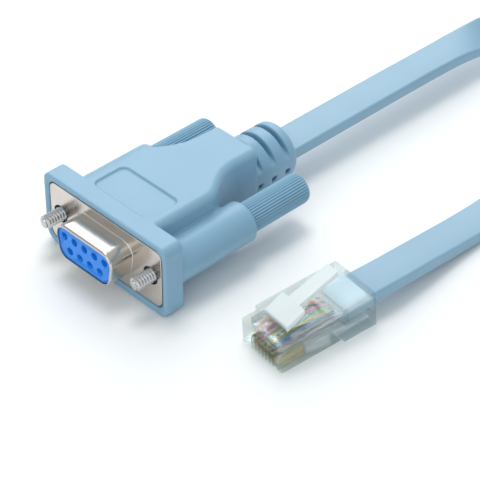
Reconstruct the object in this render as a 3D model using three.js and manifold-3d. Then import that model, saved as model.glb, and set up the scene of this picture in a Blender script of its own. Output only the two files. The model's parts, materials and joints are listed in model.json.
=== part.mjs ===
// Flat serial cable: a moulded hood with a 9-way socket and two thumbscrews,
// a flat jacketed cable wound into a coil, and a clear 8-way plug on its far end.
// Millimetres, +Z up. The mating face looks along -Y and the cable leaves along +Y.
// The origin is at the middle of the hood connector, on the surface that it lies on.

import * as THREE from 'three';
import { mergeVertices } from 'three/addons/utils/BufferGeometryUtils.js';
import Module from 'manifold-3d';

const wasm = await Module();
wasm.setup();

const clearance = 0.3;
const overshoot = 1;
const overlap = 0.5;
const roundShare = 0.3;
const smallRound = 14;
const middleRound = 20;
const wideRound = 28;
const coilRound = 48;

// Metal shell of the socket, to the usual 9-way outline.
const plateY = -19.65;
const screwSpacing = 24.99;
const plateEar = 2.91;
const plateHeight = 12.55;
const plateThickness = 0.6;
const plateCorner = 1.6;
const shellSide = 2.625;
const shellBand = 2.53;
const shellCorner = 2.6;
const shellSlant = 10;
const shellWall = 0.4;
const shellReach = 5.2;

// Insulator and its contacts.
const insulatorRecess = 0.25;
const contactPitch = 2.77;
const rowPitch = 2.84;
const contactHole = 0.95;
const contactRadius = 0.65;
const contactBore = 0.4;
const contactSink = 1;
const topRowCount = 5;
const bottomRowCount = 4;

// Hood: flange, body, neck and boot are moulded in one with the screw barrels.
const lipDepth = 0.3;
const lipWidth = 1.15;
const hoodHeight = 15.7;
const flangeBack = 4.2;
const flangeCorner = 1.6;
const flangeEdge = 0.4;
const bodyWidth = 20.6;
const bodyLength = 12.8;
const shoulderLength = 11;
const shoulderBendOut = 0.25;
const shoulderBendIn = 0.5;
const neckWidth = 11.8;
const neckLength = 5.3;
const bodyFillet = 1.5;
const bodyStep = 0.05;
const barrelRadius = 4.15;
const barrelLength = 18.8;
const recessStart = 3.9;
const recessWidth = 15.2;
const recessLength = 7.9;
const recessDepth = 0.45;
const recessCorner = 1;
const bootRadius = 5.85;
const bootLength = 11.2;
const bootEdge = 1.1;
const bootHeight = 7.4;
const grooveCount = 3;
const groovePitch = 3.6;
const grooveWidth = 1.1;
const grooveDepth = 2.2;
const grooveStart = 1.2;
const grooveFoot = 1.9;
const windowHeight = 1.3;
const windowDrop = 1.4;
const windowDepth = 2;

// Thumbscrews.
const screwRadius = 1.42;
const screwReach = 4.3;
const screwTip = 0.5;
const screwGrip = 8;
const knobRadius = 3.1;
const knobLength = 19.3;
const knobSink = 4;
const knobRibs = 36;
const ribDepth = 0.28;
const knobRound = 1;

// Flat cable and the coil that holds the length which is put away.
const cableWidth = 7.6;
const cableThickness = 2.5;
const cableCorner = 0.5;
const cableHeight = 6.9;
const hoodRunSteps = 27;
const plugRunSteps = 60;
const coilCentreX = 29.5;
const coilCentreY = 134.35;
const coilInner = 30.15;
const coilOuter = 47.47;
const tieWidth = 3;
const tieThickness = 0.8;

// Plug, in its own frame: X across, Y back from the nose, Z up from its lower face.
const plugNoseX = 36;
const plugNoseY = -14.3;
const plugYaw = -6.9;
const plugWidth = 11.68;
const plugHeight = 6.67;
const plugLength = 21.6;
const plugEdge = 0.25;
const plugWall = 1.5;
const channelDepth = 1.4;
const channelLength = 13.2;
const noseBlockWidth = 6.4;
const noseBlockLength = 3.2;
const noseBlockRise = 0.6;
const skirtDrop = 0.95;
const skirtLength = 7.4;
const skirtRamp = 0.7;
const entryHeight = 3.1;
const entryLead = 3;
const jacketGrip = 6.3;
const wireCount = 8;
const wirePitch = 1.02;
const wireRadius = 0.4;
const wireBunch = 0.86;
const wireStop = 1.3;
const wireLift = 0.9;
const wireStraight = 1;
const wireBend = 4.5;
const bladeThickness = 0.3;
const bladeHeight = 2.2;
const bladeLength = 5.4;
const bladeInset = 0.7;
const bladeSlot = 0.7;
const bladeRecess = 0.35;
const leverWidth = 3;
const tongueLength = 4;
const tongueSlope = 25;
const leverLength = 8.9;
const leverSlope = 17.5;
const leverStep = 0.1;
const latchThickness = 1.1;

const plateWidth = screwSpacing + 2 * plateEar;
const shellWidth = (topRowCount - 1) * contactPitch + 2 * shellSide;
const shellHeight = rowPitch + 2 * shellBand;
const hoodAxis = hoodHeight / 2;
const flangeWidth = plateWidth + 2 * (clearance + lipWidth);
const pocketDepth = plateThickness + clearance;
const shellInside = shellWall + clearance;
const bodyStart = plateY + pocketDepth;
const bodyEnd = plateY + flangeBack + bodyLength;
const neckStart = bodyEnd + shoulderLength;
const neckEnd = neckStart + neckLength;
const bootEnd = neckEnd + bootLength;
const barrelEnd = plateY + flangeBack + barrelLength;
const knobStart = barrelEnd - knobSink;
const plugPitch = Math.atan(skirtDrop / (plugLength - skirtLength));

const blue = { color: 0xb2d3e8, roughness: 0.45, metalness: 0 };
const nickel = { color: 0xcdc6be, roughness: 0.28, metalness: 1 };
const steel = { color: 0xc9cbce, roughness: 0.3, metalness: 1 };
const gold = { color: 0xd8ab4a, roughness: 0.25, metalness: 1 };
const insulatorBlue = { color: 0x3a96eb, roughness: 0.4, metalness: 0 };
const tieBlack = { color: 0x26282b, roughness: 0.6, metalness: 0 };
const clear = { color: 0xe6eff2, roughness: 0.1, metalness: 0, transparent: true, opacity: 0.45 };
const wireColours = [0x9a9ea3, 0xe0762f, 0x3a3f46, 0xc23a66, 0x2f9a72, 0xc9b53a, 0x3f86c9, 0x8a6a7a];

function withoutDegenerates(geometry) {
  const index = geometry.index.array;
  const kept = [];
  for (let i = 0; i < index.length; i += 3) {
    const [a, b, c] = [index[i], index[i + 1], index[i + 2]];
    if (a !== b && b !== c && c !== a) kept.push(a, b, c);
  }
  geometry.setIndex(kept);
  return geometry;
}

function welded(geometry) {
  const plain = geometry.clone();
  plain.deleteAttribute('normal');
  plain.deleteAttribute('uv');
  return withoutDegenerates(mergeVertices(plain, 1e-4));
}

function toSolid(geometry) {
  const plain = welded(geometry);
  return new wasm.Manifold(new wasm.Mesh({
    numProp: 3,
    vertProperties: new Float32Array(plain.attributes.position.array),
    triVerts: new Uint32Array(plain.index.array),
  }));
}

function toGeometry(solid) {
  const { vertProperties, triVerts } = solid.getMesh();
  const geometry = new THREE.BufferGeometry();
  geometry.setAttribute('position', new THREE.BufferAttribute(vertProperties, 3));
  geometry.setIndex(new THREE.BufferAttribute(triVerts, 1));
  geometry.computeVertexNormals();
  return geometry;
}

function join(...geometries) {
  return geometries.map(toSolid).reduce((whole, piece) => whole.add(piece));
}

function cut(whole, ...geometries) {
  return geometries.map(toSolid).reduce((left, cutter) => left.subtract(cutter), whole);
}

// Outline with every corner rounded to the same radius.
function roundedOutline(corners, radius) {
  const shape = new THREE.Shape();
  corners.forEach((corner, i) => {
    const before = corners[(i + corners.length - 1) % corners.length];
    const after = corners[(i + 1) % corners.length];
    const back = before.clone().sub(corner).normalize();
    const on = after.clone().sub(corner).normalize();
    const half = Math.acos(back.dot(on)) / 2;
    const start = corner.clone().addScaledVector(back, radius / Math.tan(half));
    const end = corner.clone().addScaledVector(on, radius / Math.tan(half));
    const middle = back.clone().add(on).setLength(radius / Math.sin(half)).add(corner);
    const from = Math.atan2(start.y - middle.y, start.x - middle.x);
    const to = Math.atan2(end.y - middle.y, end.x - middle.x);
    if (i === 0) shape.moveTo(start.x, start.y);
    else shape.lineTo(start.x, start.y);
    shape.absarc(middle.x, middle.y, radius, from, to, back.cross(on) > 0);
  });
  shape.closePath();
  return shape;
}

function roundedRectangle(width, height, radius) {
  const [x, y] = [width / 2, height / 2];
  const corners = [[-x, -y], [x, -y], [x, y], [-x, y]];
  return roundedOutline(corners.map(([u, v]) => new THREE.Vector2(u, v)), radius);
}

// Keystone outline of the socket, shrunk all round by inset.
function keystone(inset) {
  const slant = THREE.MathUtils.degToRad(shellSlant);
  const y = shellHeight / 2 - inset;
  const top = shellWidth / 2 - inset / Math.cos(slant) + inset * Math.tan(slant);
  const foot = top - 2 * y * Math.tan(slant);
  const corners = [[-foot, -y], [foot, -y], [top, y], [-top, y]];
  return roundedOutline(corners.map(([u, v]) => new THREE.Vector2(u, v)), shellCorner - inset);
}

function extrude(shape, length, edge, arcSegments) {
  const geometry = new THREE.ExtrudeGeometry(shape, {
    depth: length - 2 * edge,
    bevelEnabled: edge > 0,
    bevelThickness: edge,
    bevelSize: edge,
    bevelOffset: -edge,
    bevelSegments: edge > 1 ? 3 : 2,
    curveSegments: arcSegments,
    steps: 1,
  });
  return geometry.translate(0, 0, edge);
}

// Outline in X and Z, pushed along Y from one station to the other.
function alongY(shape, from, to, edge = 0, arcSegments = 5) {
  return extrude(shape, to - from, edge, arcSegments).rotateX(Math.PI / 2).translate(0, to, 0);
}

// Outline in Y and Z, pushed along X to both sides of the middle.
function alongX(shape, width, edge = 0, arcSegments = 3) {
  const turned = new THREE.Matrix4().set(0, 0, 1, 0, 1, 0, 0, 0, 0, 1, 0, 0, 0, 0, 0, 1);
  return extrude(shape, width, edge, arcSegments).applyMatrix4(turned).translate(-width / 2, 0, 0);
}

function rod(radius, from, to, segments) {
  return new THREE.CylinderGeometry(radius, radius, to - from, segments).translate(0, (from + to) / 2, 0);
}

// Solid turned about Y from points given as radius and station.
function turned(points, segments) {
  return new THREE.LatheGeometry(points.map(([r, y]) => new THREE.Vector2(r, y)), segments);
}

function box(width, length, height, x, y, z) {
  return new THREE.BoxGeometry(width, length, height).translate(x, y, z);
}

function mirroredPair(make) {
  return [-1, 1].flatMap((side) => make(side));
}

function hoodBody() {
  const [wide, narrow] = [bodyWidth / 2, neckWidth / 2];
  const bendOut = bodyEnd + shoulderBendOut * shoulderLength;
  const bendIn = bodyEnd + shoulderBendIn * shoulderLength;
  const plan = new THREE.Shape();
  plan.moveTo(-wide, bodyStart);
  plan.lineTo(wide, bodyStart);
  plan.lineTo(wide, bodyEnd);
  plan.bezierCurveTo(wide, bendOut, narrow, bendIn, narrow, neckStart);
  plan.lineTo(narrow, neckEnd);
  plan.lineTo(-narrow, neckEnd);
  plan.lineTo(-narrow, neckStart);
  plan.bezierCurveTo(-narrow, bendIn, -wide, bendOut, -wide, bodyEnd);
  plan.closePath();
  return extrude(plan, hoodHeight - 2 * bodyStep, bodyFillet, 8).translate(0, 0, bodyStep);
}

function boot() {
  const start = neckEnd - bodyFillet;
  const profile = [[0, start], [bootRadius, start], [bootRadius, bootEnd - bootEdge],
    [bootRadius - roundShare * bootEdge, bootEnd - roundShare * bootEdge],
    [bootRadius - bootEdge, bootEnd], [0, bootEnd]];
  return turned(profile, wideRound).translate(0, 0, bootHeight);
}

function grooveStation(i) {
  return neckEnd + grooveStart + i * groovePitch;
}

// Grooves run over the top of the boot and stop above the middle of its sides.
function bootGroove(y) {
  const inside = bootRadius - grooveDepth;
  const [from, to] = [y - grooveWidth / 2, y + grooveWidth / 2];
  const outside = bootRadius + overshoot;
  const profile = [[inside, from], [outside, from], [outside, to], [inside, to], [inside, from]];
  const ring = toSolid(turned(profile, wideRound).translate(0, 0, bootHeight));
  const over = toSolid(box(4 * bootRadius, 2 * grooveWidth, 2 * bootRadius,
    0, y, bootHeight + grooveFoot + bootRadius));
  return toGeometry(ring.intersect(over));
}

function bootWindow(side, y) {
  return box(2 * windowDepth, grooveWidth, windowHeight, side * bootRadius, y, bootHeight - windowDrop);
}

function screwPassage(side) {
  const x = side * screwSpacing / 2;
  const bore = rod(screwRadius + clearance, plateY - overshoot, knobStart, smallRound);
  const sleeve = rod(knobRadius + clearance, knobStart - clearance, barrelEnd + knobLength, wideRound);
  return [bore, sleeve].map((g) => g.translate(x, 0, hoodAxis));
}

function hood() {
  const flange = alongY(roundedRectangle(flangeWidth, hoodHeight, flangeCorner),
    plateY - lipDepth, plateY + flangeBack, flangeEdge).translate(0, 0, hoodAxis);
  const barrels = mirroredPair((side) => rod(barrelRadius, plateY + flangeBack / 2, barrelEnd, wideRound)
    .translate(side * screwSpacing / 2, 0, hoodAxis));
  const pocket = alongY(roundedRectangle(plateWidth + 2 * clearance, plateHeight + 2 * clearance, plateCorner),
    plateY - overshoot, plateY + pocketDepth).translate(0, 0, hoodAxis);
  const recess = extrude(roundedRectangle(recessWidth, recessLength, recessCorner), 2 * recessDepth, 0, 3)
    .translate(0, plateY + recessStart + recessLength / 2, hoodHeight - recessDepth);
  const grooves = Array.from({ length: grooveCount }, (_, i) => bootGroove(grooveStation(i)));
  const windows = grooves.flatMap((_, i) => mirroredPair((side) => bootWindow(side, grooveStation(i))));
  const passages = mirroredPair(screwPassage);
  const whole = join(flange, hoodBody(), ...barrels, boot());
  return toGeometry(cut(whole, pocket, recess, ...grooves, ...windows, ...passages));
}

function metalShell() {
  const plate = alongY(roundedRectangle(plateWidth, plateHeight, plateCorner), plateY, plateY + plateThickness);
  const tube = alongY(keystone(0), plateY - shellReach, plateY + plateThickness, 0.2, 4);
  const hollow = alongY(keystone(shellWall), plateY - shellReach - overshoot,
    plateY + plateThickness + overshoot, 0, 4);
  const holes = mirroredPair((side) => rod(screwRadius + clearance, plateY - overshoot,
    plateY + plateThickness + overshoot, middleRound).translate(side * screwSpacing / 2, 0, 0));
  return toGeometry(cut(join(plate, tube), hollow, ...holes)).translate(0, 0, hoodAxis);
}

function contactPlaces() {
  const row = (count, z) => Array.from({ length: count }, (_, i) => [(i - (count - 1) / 2) * contactPitch, z]);
  return [...row(topRowCount, rowPitch / 2), ...row(bottomRowCount, -rowPitch / 2)];
}

function insulator() {
  const front = plateY - shellReach + insulatorRecess;
  const block = toSolid(alongY(keystone(shellInside), front, plateY + plateThickness, 0.2, 4));
  const back = plateY - clearance;
  const holes = contactPlaces()
    .map(([x, z]) => rod(contactHole, front - overshoot, back, smallRound).translate(x, 0, z));
  return toGeometry(cut(block, ...holes)).translate(0, 0, hoodAxis);
}

function contact(x, z) {
  const front = plateY - shellReach + insulatorRecess + contactSink;
  const back = plateY - 2 * clearance;
  const profile = [[contactBore, front], [contactRadius, front], [contactRadius, back], [0, back],
    [0, back - contactSink], [contactBore, back - contactSink], [contactBore, front]];
  return turned(profile, smallRound).translate(x, 0, hoodAxis + z);
}

function screw(side) {
  const [from, to] = [plateY - screwReach, knobStart + screwGrip - clearance];
  const profile = [[0, from], [screwRadius - screwTip, from], [screwRadius, from + screwTip],
    [screwRadius, to], [0, to]];
  return turned(profile, middleRound).translate(side * screwSpacing / 2, 0, hoodAxis);
}

function knob(side) {
  const outline = new THREE.Shape();
  for (let i = 0; i < 2 * knobRibs; i += 1) {
    const angle = i * Math.PI / knobRibs;
    const radius = i % 2 ? knobRadius - ribDepth : knobRadius;
    if (i === 0) outline.moveTo(radius, 0);
    else outline.lineTo(radius * Math.cos(angle), radius * Math.sin(angle));
  }
  outline.closePath();
  const end = knobStart + knobLength;
  const outside = knobRadius + overshoot;
  const envelope = [[0, knobStart], [outside, knobStart], [outside, end - knobRound],
    [knobRadius, end - knobRound], [knobRadius - roundShare * knobRound, end - roundShare * knobRound],
    [knobRadius - knobRound, end], [0, end]];
  const ribbed = toSolid(alongY(outline, knobStart, end, 0, 1)).intersect(toSolid(turned(envelope, wideRound)));
  const bore = rod(screwRadius + clearance, knobStart - overshoot, knobStart + screwGrip, smallRound);
  return toGeometry(cut(ribbed, bore)).translate(side * screwSpacing / 2, 0, hoodAxis);
}

// A straight extrusion of the flat section, laid onto the run's curve and turned by its
// twist: 0 is flat, 90 stands on edge. Points are X, Y, Z and twist in degrees.
function cableRun(points, steps) {
  const curve = new THREE.CatmullRomCurve3(points.map(([x, y, z]) => new THREE.Vector3(x, y, z)));
  const section = roundedRectangle(cableWidth, cableThickness, cableCorner);
  const geometry = new THREE.ExtrudeGeometry(section, { depth: 1, steps, bevelEnabled: false, curveSegments: 2 });
  const position = geometry.attributes.position;
  const up = new THREE.Vector3(0, 0, 1);
  for (let i = 0; i < position.count; i += 1) {
    const t = position.getZ(i);
    const tangent = curve.getTangent(t);
    const flat = up.clone().addScaledVector(tangent, -up.dot(tangent)).normalize();
    const side = flat.clone().cross(tangent);
    const knot = Math.min(Math.floor(t * (points.length - 1)), points.length - 2);
    const share = t * (points.length - 1) - knot;
    const twist = THREE.MathUtils.degToRad(points[knot][3] * (1 - share) + points[knot + 1][3] * share);
    const [x, y] = [position.getX(i), position.getY(i)];
    const across = x * Math.cos(twist) - y * Math.sin(twist);
    const through = x * Math.sin(twist) + y * Math.cos(twist);
    const place = curve.getPoint(t).addScaledVector(side, across).addScaledVector(flat, through);
    position.setXYZ(i, place.x, place.y, place.z);
  }
  return geometry;
}

// From the boot to the outside of the coil: level at first, then sinking and turning on edge.
const hoodRun = [
  [0, bootEnd + clearance, cableHeight, 0], [0, 34.85, cableHeight, 0], [0, 44.85, 6.85, 0], [0, 55.85, 6.8, 0],
  [0, 66.85, 6.65, 0], [0, 76.85, 6.4, 5], [0, 84.35, 5.8, 24], [-0.5, 90.25, 4.9, 62], [-2.2, 96.85, 3.9, 89],
];

// From the inside of the coil over its turns, down to the table and on to the plug.
const plugRun = [
  [52.6, 149.45, 4.8, 74], [54.1, 139.15, 6.6, 44], [52.6, 131.65, 8.4, 18], [50.6, 125.45, 9.3, 5],
  [47.9, 117.85, 9.4, 0], [45.2, 109.85, 9.3, 0], [42.4, 101.35, 9.3, 0], [40.1, 92.85, 9.2, 0],
  [38.7, 84.35, 8.5, 0], [38.0, 75.35, 6.2, 0], [37.8, 66, 3.8, 0], [37.8, 56, 2.1, 0],
  [37.85, 44.85, 1.4, 0], [37.95, 36.85, 1.7, 0], [38.28, 28.85, 2.6, 0], [38.85, 20.85, 3.8, 0],
  [39.15, 13.85, 4.6, 0],
];

function plugFrame() {
  const frame = new THREE.Group();
  frame.position.set(plugNoseX, plugNoseY, 0);
  frame.rotation.set(plugPitch, 0, THREE.MathUtils.degToRad(plugYaw), 'ZXY');
  frame.updateMatrixWorld();
  return frame;
}

function onPlugAxis(y) {
  const place = new THREE.Vector3(0, y, entryHeight).applyMatrix4(plugFrame().matrixWorld);
  return [place.x, place.y, place.z, 0];
}

function plugCable() {
  const entry = [plugLength + entryLead, plugLength, plugLength - jacketGrip / 2, plugLength - jacketGrip];
  return cableRun([...plugRun, ...entry.map(onPlugAxis)], plugRunSteps);
}

// All turns of the coil as one ring, nicked underneath where the tie passes.
function coil() {
  const profile = [[coilInner, 0], [coilOuter, 0], [coilOuter, cableWidth],
    [coilInner, cableWidth], [coilInner, 0]];
  const ring = toSolid(turned(profile, coilRound).rotateX(Math.PI / 2));
  const nick = box(tieWidth + 2 * clearance, coilOuter - coilInner + 2 * overshoot,
    2 * (tieThickness + clearance), 0, (coilOuter + coilInner) / 2, 0);
  return toGeometry(cut(ring, nick)).translate(coilCentreX, coilCentreY, 0);
}

function coilTie() {
  const length = coilOuter - coilInner + 2 * (clearance + tieThickness);
  const height = cableWidth + 2 * tieThickness;
  const band = roundedRectangle(length, height, tieThickness);
  const inside = roundedRectangle(length - 2 * tieThickness, height - 2 * tieThickness, clearance);
  band.holes.push(inside);
  return alongX(band, tieWidth).translate(coilCentreX, coilCentreY + (coilOuter + coilInner) / 2, height / 2);
}

function plugBody() {
  const skirtStart = plugLength - skirtLength;
  const side = new THREE.Shape();
  side.moveTo(0, 0);
  side.lineTo(skirtStart - skirtRamp, 0);
  side.lineTo(skirtStart, -skirtDrop);
  side.lineTo(plugLength, -skirtDrop);
  side.lineTo(plugLength, plugHeight);
  side.lineTo(0, plugHeight);
  side.closePath();
  const floor = plugHeight - channelDepth;
  const channel = box(plugWidth - 2 * plugWall, channelLength + overshoot, 2 * channelDepth,
    0, (channelLength - overshoot) / 2, plugHeight);
  const corners = box(plugWidth + overshoot, noseBlockLength + overshoot, 2 * channelDepth,
    0, (noseBlockLength - overshoot) / 2, plugHeight);
  const blockHeight = channelDepth + noseBlockRise + overlap;
  const block = box(noseBlockWidth, noseBlockLength - plugEdge, blockHeight,
    0, (noseBlockLength + plugEdge) / 2, floor - overlap + blockHeight / 2);
  const entry = box(cableWidth + 2 * clearance, 2 * (jacketGrip + clearance), cableThickness + 2 * clearance,
    0, plugLength, entryHeight);
  const wireSpan = (wireCount - 1) * wirePitch + 2 * (wireRadius + clearance);
  const wireRoom = plugLength - jacketGrip - wireStop + 2 * clearance;
  const wirePocket = box(wireSpan, wireRoom, wireLift + 2 * (wireRadius + clearance),
    0, wireStop - clearance + wireRoom / 2, entryHeight + wireLift / 2);
  const slots = wirePlaces().map((x) => box(bladeSlot, bladeLength + 2 * bladeInset, 2 * bladeTop() + clearance,
    x, bladeInset + bladeLength / 2 - bladeInset, 0));
  const shaped = cut(toSolid(alongX(side, plugWidth, plugEdge)), channel, corners).add(toSolid(block));
  return toGeometry(cut(shaped, entry, wirePocket, ...slots));
}

function bladeTop() {
  return bladeRecess + bladeHeight;
}

function wirePlaces() {
  return Array.from({ length: wireCount }, (_, i) => (i - (wireCount - 1) / 2) * wirePitch);
}

function wire(x) {
  const start = plugLength - jacketGrip - clearance;
  const bunched = x * wireBunch / wirePitch;
  const curve = new THREE.CatmullRomCurve3([
    [bunched, start, entryHeight], [bunched, start - wireStraight, entryHeight],
    [x, start - wireBend, entryHeight + wireLift], [x, wireStop, entryHeight + wireLift],
  ].map((p) => new THREE.Vector3(...p)));
  const section = new THREE.Shape();
  section.absarc(0, 0, wireRadius, 0, 2 * Math.PI, false);
  return new THREE.ExtrudeGeometry(section, { steps: 8, curveSegments: 8, extrudePath: curve });
}

function blade(x) {
  return box(bladeThickness, bladeLength, bladeHeight,
    x, bladeInset + bladeLength / 2, bladeRecess + bladeHeight / 2);
}

// Behind the nose block the latch climbs as a wide tongue up to its two shoulders,
// then runs on as a narrow, flatter lever.
function latch() {
  const bar = (from, length, foot, slope) => {
    const rise = length * Math.tan(THREE.MathUtils.degToRad(slope));
    const shape = new THREE.Shape();
    shape.moveTo(from, foot);
    shape.lineTo(from + length, foot + rise);
    shape.lineTo(from + length, foot + rise + latchThickness);
    shape.lineTo(from, foot + latchThickness);
    shape.closePath();
    return shape;
  };
  const root = noseBlockLength + clearance;
  const foot = plugHeight + noseBlockRise - latchThickness;
  const shoulder = foot + tongueLength * Math.tan(THREE.MathUtils.degToRad(tongueSlope));
  const start = shoulder - leverStep - overlap * Math.tan(THREE.MathUtils.degToRad(leverSlope));
  return toGeometry(join(alongX(bar(root, tongueLength, foot, tongueSlope), noseBlockWidth),
    alongX(bar(root + tongueLength - overlap, leverLength + overlap, start, leverSlope), leverWidth)));
}

const part = new THREE.Group();

function add(parent, name, geometry, finish) {
  const mesh = new THREE.Mesh(geometry, new THREE.MeshStandardMaterial(finish));
  mesh.name = name;
  parent.add(mesh);
}

add(part, 'hood', hood(), blue);
add(part, 'socket_shell', metalShell(), nickel);
add(part, 'insulator', insulator(), insulatorBlue);
contactPlaces().forEach(([x, z], i) => add(part, `socket_contact_${i + 1}`, contact(x, z), gold));
[['left', -1], ['right', 1]].forEach(([name, side]) => {
  add(part, `${name}_thumbscrew_knob`, knob(side), blue);
  add(part, `${name}_thumbscrew_screw`, screw(side), steel);
});
add(part, 'cable_to_hood', cableRun(hoodRun, hoodRunSteps), blue);
add(part, 'cable_coil', coil(), blue);
add(part, 'cable_to_plug', plugCable(), blue);
add(part, 'coil_tie', coilTie(), tieBlack);

const plug = plugFrame();
part.add(plug);
add(plug, 'plug_body', plugBody(), clear);
add(plug, 'plug_latch', latch(), clear);
wirePlaces().forEach((x, i) => {
  add(plug, `plug_contact_${i + 1}`, blade(x), gold);
  add(plug, `plug_wire_${i + 1}`, wire(x), { color: wireColours[i], roughness: 0.4, metalness: 0 });
});

export default part;
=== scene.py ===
"""Looks of a flat serial cable, laid out as an add-on.

A moulded hood holds a 9-way socket and two thumbscrews, a flat jacketed cable
is wound into a coil, and a clear 8-way plug sits on the cable's far end.
Everything is in metres, in the packed model's own frame.
"""

import json
import math

import bmesh
import bpy
import numpy as np
from mathutils import Matrix, Vector


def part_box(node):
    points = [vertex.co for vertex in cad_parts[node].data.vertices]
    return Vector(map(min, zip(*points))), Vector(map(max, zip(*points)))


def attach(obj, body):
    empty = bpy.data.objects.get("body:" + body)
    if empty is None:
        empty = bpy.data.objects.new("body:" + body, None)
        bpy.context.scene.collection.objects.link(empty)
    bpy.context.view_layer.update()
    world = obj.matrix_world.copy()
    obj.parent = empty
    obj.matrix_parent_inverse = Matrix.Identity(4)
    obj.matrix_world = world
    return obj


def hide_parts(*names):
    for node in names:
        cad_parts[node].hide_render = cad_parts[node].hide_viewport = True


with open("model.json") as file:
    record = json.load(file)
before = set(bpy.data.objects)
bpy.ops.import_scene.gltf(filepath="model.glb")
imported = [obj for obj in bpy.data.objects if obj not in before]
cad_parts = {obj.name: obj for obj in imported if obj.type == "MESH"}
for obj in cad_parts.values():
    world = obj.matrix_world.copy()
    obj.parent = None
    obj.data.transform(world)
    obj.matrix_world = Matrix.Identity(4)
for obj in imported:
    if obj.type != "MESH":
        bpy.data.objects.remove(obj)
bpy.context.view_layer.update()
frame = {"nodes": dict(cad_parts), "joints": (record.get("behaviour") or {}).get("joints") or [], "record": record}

bl_info = {
    "name": "Flat serial cable",
    "version": (1, 0, 0),
    "blender": (4, 5, 0),
    "location": "View3D > Sidebar > Serial cable",
    "description": "Builds a moulded 9-way hood, its flat cable and the clear plug",
    "category": "Object",
}

MM = 0.001
MERGE = 0.0001 * MM
CAD_MERGE = 0.001 * MM
ASSEMBLY = "cable_assembly"
MOUNTS = {mount["name"]: mount for mount in frame["record"]["mounts"]}
JOINTS = {joint["name"]: joint for joint in frame["joints"]}
PLATE_Y = MOUNTS["mating_face"]["pos_m"][1]
SCREW_X = JOINTS["right_thumbscrew_turn"]["pos_m"][0]
AXIS_Z = JOINTS["right_thumbscrew_turn"]["pos_m"][2]
HOOD_LOW, HOOD_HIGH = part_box("hood")
SHELL_LOW, SHELL_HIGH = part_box("socket_shell")
KNOB_LOW, KNOB_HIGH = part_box("right_thumbscrew_knob")
SCREW_LOW, SCREW_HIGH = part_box("right_thumbscrew_screw")
ALONG_Y = (-math.pi / 2, 0, 0)
CONTACTS = [f"socket_contact_{i}" for i in range(1, 10)]
BLADES = [f"plug_contact_{i}" for i in range(1, 9)]
WIRES = [f"plug_wire_{i}" for i in range(1, 9)]


def length(name, description, millimetres):
    """A length, given in millimetres and kept in metres."""
    return bpy.props.FloatProperty(
        name=name, description=description, default=millimetres * MM, min=0, unit="LENGTH", precision=5
    )


def angle(name, description, degrees):
    """An angle, given in degrees and kept in radians."""
    return bpy.props.FloatProperty(
        name=name, description=description, default=math.radians(degrees), subtype="ANGLE"
    )


def share(name, description, value):
    """A share from 0 to 1."""
    return bpy.props.FloatProperty(
        name=name, description=description, default=value, min=0, max=1, subtype="FACTOR"
    )


def number(name, description, value):
    """A count of one or more."""
    return bpy.props.IntProperty(name=name, description=description, default=value, min=1)


def power(name, description, watts):
    """A light's power in watts."""
    return bpy.props.FloatProperty(
        name=name, description=description, default=watts, min=0, unit="POWER"
    )


def linear(red, green, blue):
    """The scene-linear value of a colour given as 0 to 255 screen values."""
    values = [channel / 255 for channel in (red, green, blue)]
    return tuple(v / 12.92 if v <= 0.04045 else ((v + 0.055) / 1.055) ** 2.4 for v in values)


def colour(name, description, red, green, blue):
    """A colour, given as 0 to 255 screen values and kept scene-linear."""
    return bpy.props.FloatVectorProperty(
        name=name, description=description, default=linear(red, green, blue),
        size=3, min=0, max=1, subtype="COLOR"
    )


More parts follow.
